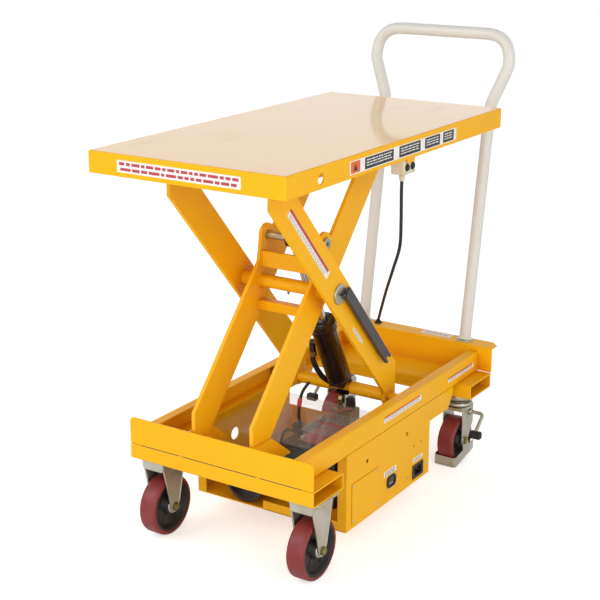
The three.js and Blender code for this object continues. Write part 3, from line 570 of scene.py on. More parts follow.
def piece(name, body, parts, replaces=()):
    """One object on a CAD body. parts are (solid or list of solids, material) pairs."""
    mesh = bpy.data.meshes.new(name)
    whole = bmesh.new()
    for solids, material in parts:
        if material.name not in mesh.materials:
            mesh.materials.append(material)
        index = list(mesh.materials).index(material)
        for solid in solids if isinstance(solids, list) else [solids]:
            for face in solid.faces:
                face.material_index = index
            part = bpy.data.meshes.new("part")
            solid.to_mesh(part)
            whole.from_mesh(part)
            bpy.data.meshes.remove(part)
            solid.free()
    whole.transform(Matrix.Translation((0, MID_Y, 0)) @ Matrix.Diagonal((MM, MM, MM, 1)))
    for face in whole.faces:
        face.smooth = True
    for edge in whole.edges:
        edge.smooth = len(edge.link_faces) == 2 and edge.calc_face_angle(0) < SHARP
    whole.to_mesh(mesh)
    whole.free()
    o = bpy.data.objects.new(name, mesh)
    bpy.context.scene.collection.objects.link(o)
    o.modifiers.new("weighted", "WEIGHTED_NORMAL").keep_sharp = True
    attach(o, body)
    if replaces:
        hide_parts(*replaces)
    return o


def cad_piece(node, body, slot, *parts):
    """The piece that stands for one CAD node."""
    return piece(node + "_body", body, parts, [node])


def yellow_piece(node, body, *solids):
    """The piece that stands for one CAD node of yellow steel."""
    return cad_piece(node, body, "yellow_paint", (list(solids), YELLOW))


def sticker(name, body, *parts):
    """A piece that no CAD node stands for, printed on yellow steel."""
    return piece(name, body, parts)


def label(axis, face, u, v, out=1, thick=0.25):
    """A thin sticker on a flat face: u and v are its ranges in the face."""
    low, high = sorted((face, face + out * thick))
    return plate(round_box(u, v, 1.5, 3), low, high, axis, bevel=0.05, segments=1)


def dashes(axis, face, u, v, out=1, rows=2, ink=0.36, word=(8, 30), gap=4, thick=0.3):
    """Rows of plain dashes that stand for print."""
    made = []
    pitch = (v[1] - v[0]) / rows
    low, high = sorted((face, face + out * thick))
    for row in range(rows):
        line = about(v[0] + pitch * (row + 0.5), pitch * ink)
        at = u[0]
        while at < u[1] - word[0] * 0.5:
            end = min(at + dice.uniform(*word), u[1])
            flat = {
                "x": ((low, high), (at, end), line),
                "y": ((at, end), (low, high), line),
                "z": ((at, end), line, (low, high)),
            }[axis]
            made.append(box(*flat, bevel=0.04, segments=1))
            at = end + gap
    return made


# ---------- platform ----------

DECK = span("deck")
SHEET = 4


def deck_shell():
    """Folded sheet, open below, with a round hole in its right skirt."""
    bm = cuboid(*DECK)
    floor = [f for f in bm.faces if f.normal.z < -0.5]
    bmesh.ops.delete(bm, geom=floor, context="FACES")
    folds = [e for e in bm.edges if len(e.link_faces) == 2]
    bmesh.ops.bevel(bm, geom=folds, offset=4.5, segments=4, profile=0.5, affect="EDGES")
    bmesh.ops.recalc_face_normals(bm, faces=bm.faces)
    right = DECK[0][1]
    return carve(thickened(bm, SHEET, -1), bar_x((right - 8, right + 3), (-373, 952), 12, 0.1))


def deck_pieces():
    front, right, low = DECK[1][0], DECK[0][1], DECK[2][0]
    deck = yellow_piece("deck", "platform", deck_shell())
    deck.data.materials.append(DECK_COAT)
    for face in deck.data.polygons:
        if face.normal.z > 0.98:
            face.material_index = 1
    sticker(
        "deck_front_label",
        "platform",
        (label("y", front, (-177, 150), (low + 10, low + 37), -1), WHITE_VINYL),
        (dashes("y", front, (-171, 145), (low + 24, low + 35), -1, 1, 0.3), RED_INK),
        (dashes("y", front, (-168, 140), (low + 12, low + 23), -1, 1, 0.3), RED_INK),
    )
    v = (low + 10, low + 36)
    parts = [(label("x", right, (-258, 245), (v[0] - 2, v[1] + 2)), WHITE_VINYL)]
    parts.append((label("x", right, (-254, -214), v, thick=0.3), ORANGE_INK))
    for u in ((-194, -66), (-40, 62), (84, 160), (176, 232)):
        parts.append((label("x", right, u, v, thick=0.3), BLACK_INK))
        text = (u[0] + 8, u[1] - 8), (v[0] + 5, v[1] - 3)
        parts.append((dashes("x", right, *text, 1, 3, 0.2, (5, 20), 3, 0.36), WHITE_VINYL))
    sign = [(-243, v[0] + 5), (-225, v[0] + 5), (-234, v[1] - 5)]
    parts.append((plate(sign, right, right + 0.36, "x", bevel=0.04), BLACK_INK))
    sticker("deck_side_label", "platform", *parts)
    for side in ("left", "right"):
        for node in ("deck_track_" + side, "deck_hinge_" + side):
            yellow_piece(node, "platform", refined(node))


BOX_FACE = 252
BUTTON_Z = 908
BUTTONS = (("down", 14), ("up", 40))


def control_box():
    x, _, z = span("control_box")
    face = BOX_FACE
    shell = box((x[0], face), (0, 54), (890, DECK[2][0] - 0.4), 4, 3)
    wells = [bar_x((face - 12, face + 3), (v, BUTTON_Z), 7.3, 0.1) for name, v in BUTTONS]
    tab = box((face - 2, face + 3.4), (9, 45), (918, 959), 1.2)
    cone = [(0, 0), (0, 6), (4, 6), (6, 7.5), (9, 6), (11, 8), (14, 6.5), (16, 9), (20, 10), (20, 0)]
    funnel = turned(cone, (232, 27, z[0]), Z, 32)
    rim = [(0, 7.4), (0, 9.4), (1.2, 9), (1.6, 7.4)]
    rims = [turned(rim, (face, v, BUTTON_Z), X, 32) for name, v in BUTTONS]
    screws = [screw((face, v, w), X, 2.4, 1.4) for v in (5, 49) for w in (896, 923)]
    screws += [screw((face + 3.4, v, 946), X, 3.4, 1.8) for v in (17, 37)]
    parts = [(carve(shell, *wells), BEIGE), (tab, YELLOW), (funnel, BEIGE), (rims, PLASTIC)]
    cad_piece("control_box", "platform", "cream_plastic", *parts, (screws, ZINC))
    for name, v in BUTTONS:
        x = span("button_" + name)[0]
        top = x[1] - x[0]
        cap = [(0, 0), (0, 6.9), (top - 1, 6.9), (top - 0.3, 6), (top, 4), (top - 0.4, 0)]
        parts = [(turned(cap, (x[0], v, BUTTON_Z), X, 32), PLASTIC)]
        piece(f"button_{name}_cap", f"{name}_button", parts, ["button_" + name])


# ---------- scissor arms ----------

LOW = pivot("lift")
CENTRE = pivot("scissor")
HIGH = pivot("platform_hinge")
ROLL_Y = pivot("upper_roller_right_spin")[0]
UPPER_AXLE = (ROLL_Y, HIGH[1])
LOWER_AXLE = (ROLL_Y, LOW[1])
ROD_PIN = pivot("rod_swing")
SLOPE = math.radians(48.4)
BAND = 85 / 2 / math.cos(SLOPE)
FOOT = 24
REACH = 33
PIN_RADIUS = 10
PIN_HOLE = 10.3
INNER_X = (77, 87)
OUTER_X = (131, 141)


def arm_outline():
    """The arm that climbs towards +Y: a straight band whose ends run on to round feet."""

    def edge(y, sign):
        return CENTRE[1] + (y - CENTRE[0]) * math.tan(SLOPE) + sign * BAND

    heel, toe = LOW[0] - REACH, ROLL_Y + REACH
    return (
        [(heel, edge(heel, 1))]
        + arc((heel + FOOT, LOW[1]), FOOT, 180, 270)
        + arc((LOW[0], LOW[1]), FOOT, 270, 360)
        + [(LOW[0] + FOOT, edge(LOW[0] + FOOT, -1)), (toe, edge(toe, -1))]
        + arc((toe - FOOT, HIGH[1]), FOOT, 0, 90)
        + arc((ROLL_Y, HIGH[1]), FOOT, 90, 180)
        + [(ROLL_Y - FOOT, edge(ROLL_Y - FOOT, 1))]
    )


def mirrored(outline):
    return [(2 * CENTRE[0] - y, z) for y, z in reversed(outline)]


def inner_arms():
    near, far = INNER_X
    for side, s in SIDES:
        x = sided(s, near, far)
        holes = [circle(at, PIN_HOLE) for at in (LOW, UPPER_AXLE, CENTRE)]
        blade = plate(arm_outline(), *x, "x", holes, 1.1)
        ear_outline = arc(ROD_PIN, 28, -10, 190, 20) + [(-114, 650), (-30, 650)]
        ear = plate(ear_outline, x[0] + 0.3, x[1] - 0.3, "x", [circle(ROD_PIN, PIN_HOLE)], 1.1)
        tube = bar_x((s * far, s * (OUTER_X[0] - 0.3)), CENTRE, 18, 1, 40, PIN_HOLE)
        beads = [ring(s * near, CENTRE, -s, 16.5), ring(s * far, CENTRE, s, 18.5)]
        beads.append(ring(s * near, UPPER_AXLE, -s, 15.5, 1.8))
        yellow_piece("inner_arm_" + side, "inner_arms", blade, ear, tube, *beads)
    nipple = (0, CENTRE[0] - 2, CENTRE[1] - 15.5)
    stem = [(0, 0), (0, 3.4), (3, 3.4), (4, 2), (6, 2.6), (8, 1.4), (8, 0)]
    cad_piece(
        "inner_centre_tube",
        "inner_arms",
        "yellow_paint",
        (bar_x(span("inner_centre_tube")[0], CENTRE, 16, 0.6, 48, PIN_HOLE), YELLOW),
        (turned(stem, nipple, (0, -0.3, -1), 20), BRASSY),
    )
    for node in ("inner_cross_plate", "inner_cross_bar"):
        x, y, z = span(node)
        beads = []
        for s in (-1, 1):
            run = [(s * (x[1] - 0.6), y[0] - 0.6, w) for w in (z[0] + 2, z[1] - 2)]
            beads.append(swept(run, 2, 8))
        yellow_piece(node, "inner_arms", box(x, y, z, 1.5), *beads)
    reach = span("rod_pin")[0][1]
    pin = [bar_x((-88, 88), ROD_PIN, PIN_RADIUS, 0.5)]
    for s in (-1, 1):
        pin.append(bar_x((s * (far + 0.3), s * reach), ROD_PIN, 15, 1.5))
        pin += bolt((s * (reach - 0.6), *ROD_PIN), (s, 0, 0), 9, 0.6)
    cad_piece("rod_pin", "inner_arms", "zinc_plate", (pin, ZINC))
    shaft = bar_x(span("upper_cross_shaft")[0], UPPER_AXLE, PIN_RADIUS, 1)
    sleeve = bar_x(about(0, near - 0.3), UPPER_AXLE, 15, 0.6)
    yellow_piece("upper_cross_shaft", "inner_arms", shaft, sleeve)


def roller(node, body):
    x, y, z = span(node)
    w, r = x[1] - x[0], (z[1] - z[0]) / 2
    profile = [(0, PIN_HOLE), (0, r - 3), (1.5, r), (w - 1.5, r), (w, r - 3), (w, PIN_HOLE)]
    cad_piece(node, body, "zinc_plate", (turned(profile, (x[0], mid(y), mid(z))), ZINC))


def outer_arms():
    near, face = OUTER_X
    for side, s in SIDES:
        holes = [circle(at, PIN_HOLE) for at in (HIGH, LOWER_AXLE, CENTRE)]
        blade = plate(mirrored(arm_outline()), *sided(s, near, face), "x", holes, 1.1)
        yellow_piece("outer_arm_" + side, "outer_arms", blade, ring(s * near, LOWER_AXLE, -s, 17.5))
    shaft = [bar_x(about(0, face + 2), CENTRE, PIN_RADIUS, 0.5)]
    disc = [(0, 0), (0, 25), (3.2, 25), (4.6, 23.6), (4.9, 18), (4.5, 17), (4.5, 7), (5, 6), (5, 0)]
    for s in (-1, 1):
        shaft.append(turned(disc, (s * (face + 0.3), *CENTRE), (s, 0, 0), 56))
    stud_end = span("centre_shaft")[0][1]
    shaft.append(bar_x((face + 4, stud_end), pivot("lock_swing"), 6, 0.6, 32))
    cad_piece("centre_shaft", "outer_arms", "zinc_plate", (shaft, ZINC))
    shaft = [bar_x(span("lower_cross_shaft")[0], LOWER_AXLE, PIN_RADIUS, 1)]
    shaft.append(bar_x((-31, 31), LOWER_AXLE, 11, 0.3))
    shaft += [bar_x((s * 30, s * (near - 0.3)), LOWER_AXLE, 17, 1.2) for s in (-1, 1)]
    yellow_piece("lower_cross_shaft", "outer_arms", *shaft)


def arm_labels():
    """Two stickers on the right outer arm, drawn level and turned down along it."""
    turn = Matrix.Translation((0, *CENTRE)) @ Matrix.Rotation(-SLOPE, 4, "X")
    face = OUTER_X[1]

    def laid(*solids):
        for bm in solids:
            bm.transform(turn)
        return list(solids)

    sticker(
        "outer_arm_label",
        "outer_arms",
        (laid(label("x", face, (-322, -76), (-10, 11))), WHITE_VINYL),
        (laid(label("x", face, (-322, -84), (3.5, 11), thick=0.32)), RED_INK),
        (laid(*dashes("x", face, (-314, -92), (-9, 2), 1, 3, 0.2, (4, 14), 3)), GREY_INK),
    )
    sticker(
        "small_arm_label",
        "outer_arms",
        (laid(label("x", face, (122, 186), (-23, -14))), WHITE_VINYL),
        (laid(*dashes("x", face, (126, 182), (-22, -15), 1, 2, 0.26, (4, 12), 3)), GREY_INK),
    )


def lock_bar():
    """The folded bar, and a small dark pin at the height of the centre pivot."""
    x = span("lock_bar")[0]
    pin = bar_x((x[0] + 1, x[1] - 1), CENTRE, 4, 0.8, 24)
    bar = refined("lock_bar", 1.2)
    cad_piece("lock_bar", "lock", "grey_paint", (bar, GREY), (pin, BLACK_PAINT))


# ---------- hydraulic cylinder ----------
# It is drawn hanging down from the rod pin at the origin, and HANG leans it onto its axis.

STROKE_AXIS = Vector((0, LOWER_AXLE[0] - ROD_PIN[0], LOWER_AXLE[1] - ROD_PIN[1]))
LENGTH = STROKE_AXIS.length
HANG = Matrix.Translation((0, *ROD_PIN)) @ Matrix.Rotation(
    math.atan2(STROKE_AXIS.y, -STROKE_AXIS.z), 4, "X"
)
GLAND = 268
BARREL_END = LENGTH - 34
PORT = -352
ROD_RADIUS = 15
BARREL_RADIUS = 32


def leaned(*solids):
    for bm in solids:
        bm.transform(HANG)
    return list(solids)


def cylinder():
    r, g, end = ROD_RADIUS, GLAND, BARREL_END
    rod_bar = turned([(14, 0), (14, r), (g + 30, r), (g + 30, 0)], ORIGIN, DOWN, 56)
    eye = plate(circle((0, 0), 22, 48), -17, 17, "x", [circle((0, 0), PIN_HOLE)], 1.2)
    collar = turned([(18, 0), (18, 17), (26, 17), (30, r + 0.1), (30, 0)], ORIGIN, DOWN, 48)
    parts = [(leaned(rod_bar), CHROME), (leaned(eye, collar), BLACK_PAINT)]
    cad_piece("cylinder_rod", "rod", "chrome", *parts)
    wall = [(g + 24, r + 0.3), (g + 24, BARREL_RADIUS), (end - 3, BARREL_RADIUS), (end, 30)]
    wall += [(end, 0), (end - 8, 0), (end - 8, r + 0.3)]
    lip = [(0, r + 0.4), (0, 21), (1.5, 22), (3, 35), (4.5, 37), (11, 37), (12, 35.8), (13, 37)]
    lip += [(24, 37), (26, 35), (26, r + 0.4)]
    seal = [(-2, r + 0.2), (-2, 18), (0.5, 19.5), (0.5, r + 0.2)]
    tube = turned(wall, ORIGIN, DOWN, 56)
    cap = turned([(g + d, across) for d, across in lip], ORIGIN, DOWN, 56)
    wiper = turned([(g + d, across) for d, across in seal], ORIGIN, DOWN, 48)
    top, seat = -end + 2, -LENGTH
    hook = (
        [(-23, top), (-23, seat + 15)]
        + arc((-19, seat + 15), 4, 180, 270, 4)[1:]
        + arc((6, seat + 5), 8, 90, 0, 6)
        + arc((6, seat - 11), 7.5, 0, -90, 6)
        + [(-13.5, seat - 18.5)]
        + arc((0, seat), 23, 234, 360, 24)
        + [(23, top)]
    )
    foot = plate(hook, -20, 20, "x", (), 1.5)
    beads = [hoop(BARREL_RADIUS, -g - 27, 2), hoop(29, -end - 0.5, 2.4)]
    boss = rod((-24, 0, PORT), (-36, 0, PORT), 10, 1.2)
    nut = rod((-36, 0, PORT), (-42, 0, PORT), 9, 1, 6)
    parts = [(leaned(tube, cap, foot, *beads, boss), BLACK_PAINT), (leaned(wiper), RUBBER)]
    cad_piece("cylinder_barrel", "barrel", "black_paint", *parts, (leaned(nut), BRASSY))


# ---------- base frame ----------

BASE_FACE = 220  # outer faces of the rails and the tray's panels
SHELF = span("rear_wall")[2][1]


def cross_tube(node):
    """A rectangular tube. The rear one is square along its rear top edge, under the wall."""
    x, y, z = span(node)
    square = 1 if node == "rear_cross_tube" else 6
    outer = (
        arc((y[1] - 6, z[0] + 6), 6, -90, 0, 6)
        + arc((y[1] - square, z[1] - square), square, 0, 90, 6)
        + arc((y[0] + 6, z[1] - 6), 6, 90, 180, 6)
        + arc((y[0] + 6, z[0] + 6), 6, 180, 270, 6)
    )
    inner = round_box((y[0] + SHEET, y[1] - SHEET), (z[0] + SHEET, z[1] - SHEET), 3)
    return plate(outer, *x, "x", [inner], 0.8)


def front_bumper():
    """A plate welded on in spots, with black strips painted in as the shade of the gaps between them."""
    x, y, z = span("front_bumper")
    c = 7
    outline = [(x[0], z[0]), (x[1], z[0]), (x[1], z[1] - c)]
    outline += [(x[1] - c, z[1]), (x[0] + c, z[1]), (x[0], z[1] - c)]
    steel = [plate(outline, *y, "y", (), 1.4)]
    for spot in ((-244, -229), (-116, -105), (105, 116), (229, 244)):
        steel.append(bead([(u, y[0] + 2.6, z[0] + 0.4) for u in spot], 1.2))
    steel.append(bead([(u, y[1] + 1, z[0] + 1.4) for u in (-240, 240)], 2.6))
    # Black strips that stand for the shade in the seam between the spot welds.
    shadow_strips = [
        box(run, (y[0] + 0.9, y[0] + 5), (z[0] - 1.8, z[0] + 0.4), 0.3)
        for run in ((-228, -117), (-104, 104), (117, 228))
    ]
    cad_piece("front_bumper", "base", "yellow_paint", (steel, YELLOW), (shadow_strips, BLACK_PAINT))


def side_rail(side, s):
    """A channel whose lower flange is the roller track."""
    _, y, z = span("side_rail_" + side)
    face, lip, track = BASE_FACE, 192, 184
    low, top = z
    web = face - SHEET
    outline = [(lip, top), (lip, top - SHEET)]
    outline += arc((web - 3, top - SHEET - 3), 3, 90, 0, 4)
    outline += [(web, low + SHEET), (track, low + SHEET), (track, low)]
    outline += arc((face - 3, low + 3), 3, -90, 0, 4) + arc((face - 6, top - 6), 6, 0, 90, 6)
    yellow_piece("side_rail_" + side, "base", plate([(s * u, v) for u, v in outline], *y, "y", (), 0.7))


def base_frame():
    for node in ("front_cross_tube", "rear_cross_tube"):
        yellow_piece(node, "base", cross_tube(node))
    front_bumper()
    _, y, z = span("rear_wall")
    gusset_edges = (-112, -108, 108, 112)
    welds = [bead([(v, y[0] + 5, z[1] - w) for w in (44, 6)], 1.6) for v in gusset_edges]
    welds.append(bead([(u, y[0] - 1, z[0] + 0.4) for u in (-216, 216)], 2.2))
    yellow_piece("rear_wall", "base", refined("rear_wall", 1.3), *welds)
    for side, s in SIDES:
        side_rail(side, s)
        node = "base_hinge_" + side
        yellow_piece(node, "base", refined(node, 0.8))
    text = dashes("z", SHELF, (36, 114), (533, 553), 1, 3, 0.2, (6, 20), 3)
    back = label("z", SHELF, (30, 120), (530, 556))
    sticker("rear_shelf_label", "base", (back, WHITE_VINYL), (text, BLACK_INK))


# ---------- push handle ----------

GRIP_FOOT = (162, 542)
GRIP_RADIUS = 16
GRIP_BENDS = (90, 40, 75, 75, 40, 90)


def push_handle():
    foot_x, foot_y = GRIP_FOOT
    right = [(foot_x, foot_y, SHELF + 3.5), (foot_x, 645, 958), (203, 661, 1063), (203, 675, 1146)]
    corners = right + [(-x, y, z) for x, y, z in reversed(right)]
    parts = [(swept(bent(corners, GRIP_BENDS, 16), GRIP_RADIUS, 40), CREAM)]
    lean = (Vector(right[1]) - Vector(right[0])).normalized()
    for s in (-1, 1):
        at = (s * foot_x, foot_y, SHELF + 0.2)
        collar = turned([(0, 0), (0, 23), (2, 23), (3.4, 21.6), (3.4, 0)], at, Z, 48)
        neck = turned([(2, 0), (2, 20), (6, 18.5), (9, 16.2), (9, 0)], at, lean, 48)
        parts += [(collar, ZINC), (neck, CREAM)]
    cad_piece("push_handle", "base", "cream_paint", *parts)


# ---------- power unit ----------

PANEL_INNER = 217
TRAY_REAR = 231


def power_tray():
    _, y, z = span("power_tray")
    front, floor, top = y[0], z[0], z[1]
    step_floor, step_rear = 195, 362
    outline = [(front, floor), (TRAY_REAR, floor), (TRAY_REAR, step_floor), (334, step_floor)]
    outline += [(step_rear, 233), (step_rear, top), (front, top)]
    holes = {
        "left": [circle((-30, 153), 17)],
        "right": [
            round_box((10, 44), (93, 117), 9),
            round_box((143, 193), (66, 98), 2),
            circle((-91, 202), 6),
            circle((108, 202), 6),
            circle((145, 155), 3.5, 16),
            circle((184, 156), 3.5, 16),
        ],
    }
    across = about(0, PANEL_INNER + 0.2)
    parts = [plate(outline, *sided(s, PANEL_INNER, BASE_FACE), "x", holes[side], 0.6) for side, s in SIDES]
    parts.append(box(across, (front, TRAY_REAR), (floor, floor + 3), 0.6))
    parts.append(box(across, (TRAY_REAR - 3, TRAY_REAR), (floor, 150), 0.6))
    parts.append(box((-20, across[1]), (front, front + 3), (floor, floor + 24), 0.8))
    for side, s in SIDES:
        flange = sided(s, 195, BASE_FACE - 0.3)
        parts.append(box(flange, (front + 0.2, front + 3), (floor + 0.2, top - 0.2), 0.8))
    yellow_piece("power_tray", "base", *parts)


def battery_gauge():
    x, y, z = span("battery_gauge")
    cy, cz = mid(y), mid(z)
    face = BASE_FACE
    opening = round_box(about(cy, 16), about(cz, 11), 8)
    bezel = plate(round_box(y, z, 13), face + 0.3, x[1], "x", [opening], 0.9, 3)
    body = box((x[0], face + 1.6), about(cy, 16.5), about(cz, 11.5), 0.5)
    lamps = [bar_x((face + 1.5, face + 2), (cy - 9 + 4.5 * i, cz - 5), 1.5, 0.2, 12) for i in range(5)]
    window = plate(round_box(about(cy, 10), (cz, cz + 7), 1.5), face + 1.5, face + 1.9, "x", (), 0.1)
    parts = [([bezel, body], PLASTIC), (lamps[:4], WHITE_VINYL), (lamps[4:], RED_INK), (window, CLEAR)]
    cad_piece("battery_gauge", "base", "black_plastic", *parts)


def charge_socket():
    x, y, z = span("charge_socket")
    cy, cz = mid(y), mid(z)
    face = BASE_FACE
    opening = round_box(about(cy, 19), about(cz, 11), 3)
    rim = plate(round_box(y, z, 3), face + 0.3, x[1], "x", [opening], 0.8)
    cup = plate(round_box(about(cy, 24), about(cz, 15), 2), x[0], face + 0.6, "x", [opening], 0.3)
    back = box((x[0], x[0] + 8), about(cy, 20), about(cz, 12), 0.3)
    reach = (x[0] + 7, face - 3)
    pins = [bar_x(reach, (cy + v, cz + w), 2.2, 0.6, 16) for v, w in ((-9, -3), (9, -3), (0, 5))]
    cad_piece("charge_socket", "base", "black_plastic", ([rim, cup, back], PLASTIC), (pins, BRASSY))


STICKERS = (
    # name, range of y, range of z, stripe and its height
    ("rail_label_front", (-13, 178), (272, 288), ORANGE_INK, 5),
    ("rail_label_rear", (330, 481), (269, 282), RED_INK, 4),
    ("gauge_label", (-9, 54), (124, 139), None, 0),
    ("socket_label", (143, 193), (108, 120), None, 0),
)


def panel_details():
    face = BASE_FACE
    x, y, z = span("service_cover")
    cover = plate(round_box(y, z, 4), *x, "x", (), 0.7)
    corners = ((-157, 160), (-43, 160), (-43, 70), (-157, 70))
    screws = [screw((x[1] - 0.1, v, w), X, 3.6, 2) for v, w in corners]
    cad_piece("service_cover", "base", "yellow_paint", (cover, YELLOW), (screws, ZINC))
    battery_gauge()
    charge_socket()
    for name, u, v, stripe, depth in STICKERS:
        parts = [(label("x", face, u, v), WHITE_VINYL)]
        if stripe:
            bar = label("x", face, (u[0], u[1] - 6), (v[1] - depth, v[1]), thick=0.32)
            parts.append((bar, stripe))
        rows = (v[0] + 1.5, v[1] - depth - 1.5)
        text = dashes("x", face, (u[0] + 5, u[1] - 8), rows, 1, 2, 0.24, (4, 14), 3)
        parts.append((text, GREY_INK if stripe else BLACK_INK))
        sticker(name, "base", *parts)
    fixings = [screw((face, v, w), X, 3.6, 2) for v, w in ((223, 79), (114, 80), (8, 88), (50, 88))]
    piece("panel_screws", "base", [(fixings, ZINC)])


def battery():
    x, y, z = span("battery")
    case_top, lid_top = 190, 205
    case = box(x, y, (z[0], case_top), 4, 3)
    lid = box(x, y, (case_top + 0.5, lid_top), 3, 3)
    ribs = [box((x[1] - 1, x[1]), (v, v + 4), (z[0] + 20, case_top - 14), 0.4) for v in range(-90, 80, 14)]
    strip = box((x[0] + 30, x[1] - 30), (y[0] + 20, y[1] - 20), (lid_top - 0.2, lid_top + 1), 0.3)
    post = [(0, 0), (0, 7), (9, 7), (11, 6), (11, 0)]
    poles = (-70, 55)
    metal = [turned(post, (20, v, z[1] - 12), Z, 32) for v in poles]
    for v in poles:
        metal += bolt((20, v, z[1] - 1.4), Z, 10, 1.3)
    parts = [([case, lid, *ribs], PLASTIC), (strip, RED_INK), (metal, ZINC)]
    cad_piece("battery", "base", "black_plastic", *parts)


def pump_motor():
    x, y, z = span("pump_motor")
    cx, r = mid(x), (x[1] - x[0]) / 2
    cz = z[0] + r
    head_front = -71
    length = head_front + 1 - y[0]
    end_cap = [(0, 0), (0, 18), (1.2, 20), (1.2, r - 14), (0, r - 12), (0, r - 3), (3, r)]
    back = [(18, r), (16.5, r - 1.5), (15, r), (2, r), (0, r - 2), (0, 0)]
    can = turned(end_cap + [(length - d, across) for d, across in back], (cx, y[0], cz), Y, 56)
    head = box(about(cx, 34), (head_front, -25), (cz - 34, cz + 40), 3, 3)
    strap = turned([(0, r - 0.5), (0, r), (14, r), (14, r - 0.5)], (cx, y[0] + 46, cz), Y, 56)
    cad_piece("pump_motor", "base", "black_paint", ([can, head, strap], BLACK_PAINT))


def oil_tank():
    x, y, z = span("oil_tank")
    top = z[0] + 110
    shell = plate(round_box(x, (z[0], top), 22), *y, "y", (), 5, 3)
    seam_outline = round_box((x[0] + 0.2, x[1] - 0.2), (z[0] + 0.2, top - 0.2), 22)
    seam = plate(seam_outline, *about(mid(y), 1.5), "y", (), 0.8)
    filler = [(0, 0), (0, 13), (8, 13), (8, 14), (16, 14), (17, 12.5), (17, 0)]
    neck = turned(filler, (mid(x), 60, top - 1), Z, 32)
    cad_piece("oil_tank", "base", "cream_plastic", ([shell, seam], TANK), (neck, PLASTIC))


def valve_block():
    x, y, z = span("valve_block")
    top = 212
    block = box(x, y, (z[0], top), 1.5)
    winding = [(0, 0), (0, 13), (3, 13), (4, 12.4), (26, 12.4), (27, 13), (30, 13)]
    winding += [(31, 9), (35, 8), (35, 0)]
    coil = turned(winding, (24, 155, top - 1), Z, 40)
    hexagon = [(0, 0), (0, 9), (6, 9), (7, 7), (14, 7), (21, 6.4), (21, 0)]
    union = turned(hexagon, (-4, 150, top - 1), Z, 6)
    ports = [b for u in (-8, 18) for b in bolt((mid(x) + u, y[1] - 0.2, 180), Y, 12, 0.2)]
    parts = [([block, union, *ports], BRASSY), (coil, PLASTIC)]
    cad_piece("valve_block", "base", "valve_metal", *parts)


def splash_cover():
    """Clear sheet folded down in front and behind, with a printed label on top."""
    x, y, z = span("splash_cover")
    t = 2
    outline = (
        [(y[0], z[0]), (y[0] + t, z[0])]
        + arc((y[0] + 8, z[1] - 8), 6, 180, 90, 6)
        + arc((y[1] - 8, z[1] - 8), 6, 90, 0, 6)
        + [(y[1] - t, 214), (y[1], 214)]
        + arc((y[1] - 8, z[1] - 8), 8, 0, 90, 6)
        + arc((y[0] + 8, z[1] - 8), 8, 90, 180, 6)
    )
    cad_piece("splash_cover", "base", "clear_plastic", (plate(outline, *x, "x", (), 0.3), CLEAR))
    wide = (18, 136)
    note = [(label("z", z[1], wide, (-92, 60)), CLEAR)]
    for first in (-88, -12):
        rows = (first, first + 64)
        note.append((dashes("z", z[1], (22, 132), rows, 1, 9, 0.2, (6, 20), 3), GREY_INK))
    note.append((label("z", z[1], wide, (-22, -17), thick=0.3), RED_INK))
    piece("splash_cover_label", "base", note)


# ---------- casters ----------

TREAD_HALF = 23
TREAD_DEPTH = 10
LEG_INNER, LEG_OUTER = 27, 31
AXLE_REACH = 38
PLATE_HALF = 48
PLATE_SHEET = 5
FRONT_CASTER_X = 213


def wheel(end, side):
    """Tread and hub of one wheel."""
    body = f"{end}_wheel_{side}"
    hub_node = f"{end}_wheel_hub_{side}"
    x = span(hub_node)[0]
    at = (mid(x), *pivot(body + "_spin"))
    half = (x[1] - x[0]) / 2
    radius = at[2]
    rim = radius - TREAD_DEPTH
    shoulder = [(0, 5), (0.8, 3), (2.4, 1.3), (5, 0.3), (9, 0)]
    tread = [(-TREAD_HALF, rim + 0.3)] + [(-TREAD_HALF + o, radius - d) for o, d in shoulder]
    tread += [(-o, r) for o, r in reversed(tread)]
    parts = [(turned(tread, at, X, 96), TREAD)]
    piece(body + "_tread_body", body, parts, [f"{end}_wheel_tread_{side}"])
    dish = [(half, 12), (half, 20), (half - 1.5, 21.5), (9, 24), (7, 27)]
    dish += [(7, rim - 13), (9, rim - 10), (half - 1.5, rim - 6), (half, rim - 4.5), (half, rim)]
    steel = turned(dish + [(-o, r) for o, r in reversed(dish)], at, X, 96)
    parts = [(steel, HUB)]
    bearing = []
    race = [(half - 5, PIN_HOLE), (half - 5, 12), (half - 0.6, 12), (half - 0.6, 10.8)]
    race.append((half - 1, PIN_HOLE))
    for s in (-1, 1):
        bearing.append(turned([(s * o, r) for o, r in race], at, X, 40))
        for k in range(6):
            rib = box(sorted((s * 3.5, s * 8.5)), (22, rim - 9), (-2, 2), 0.8)
            rib.transform(Matrix.Translation(at) @ Matrix.Rotation(2 * math.pi * k / 6, 4, "X"))
            parts.append((rib, HUB))
    piece(body + "_hub_body", body, parts + [(bearing, ZINC)], [hub_node])


def axle(x, outer, at):
    """Axle bolt with washers, hexagon head and nut."""
    out = [bar_x(about(x, outer + 1), at, PIN_RADIUS, 0.5)]
    washer = [(0, 0), (0, 11.5), (1.2, 11.5), (1.5, 11), (1.5, 0)]
    for s in (-1, 1):
        face = x + s * outer
        out.append(turned(washer, (face, *at), (s, 0, 0), 40))
        out += bolt((face + s * 1.5, *at), (s, 0, 0), 16, AXLE_REACH - outer - 1.6)
    return out


def top_plate(cx, cy, top):
    """Plate of a caster, and the bolts that hang through it."""
    outline = round_box(about(cx, PLATE_HALF), about(cy, PLATE_HALF), 8)
    bolts = []
    for u in (-1, 1):
        for v in (-1, 1):
            at = (cx + u * (PLATE_HALF - 11), cy + v * (PLATE_HALF - 11), top - PLATE_SHEET)
            bolts += bolt(at, DOWN, 11, 5, 8.5)
    return plate(outline, top - PLATE_SHEET, top, "z", (), 0.9), bolts


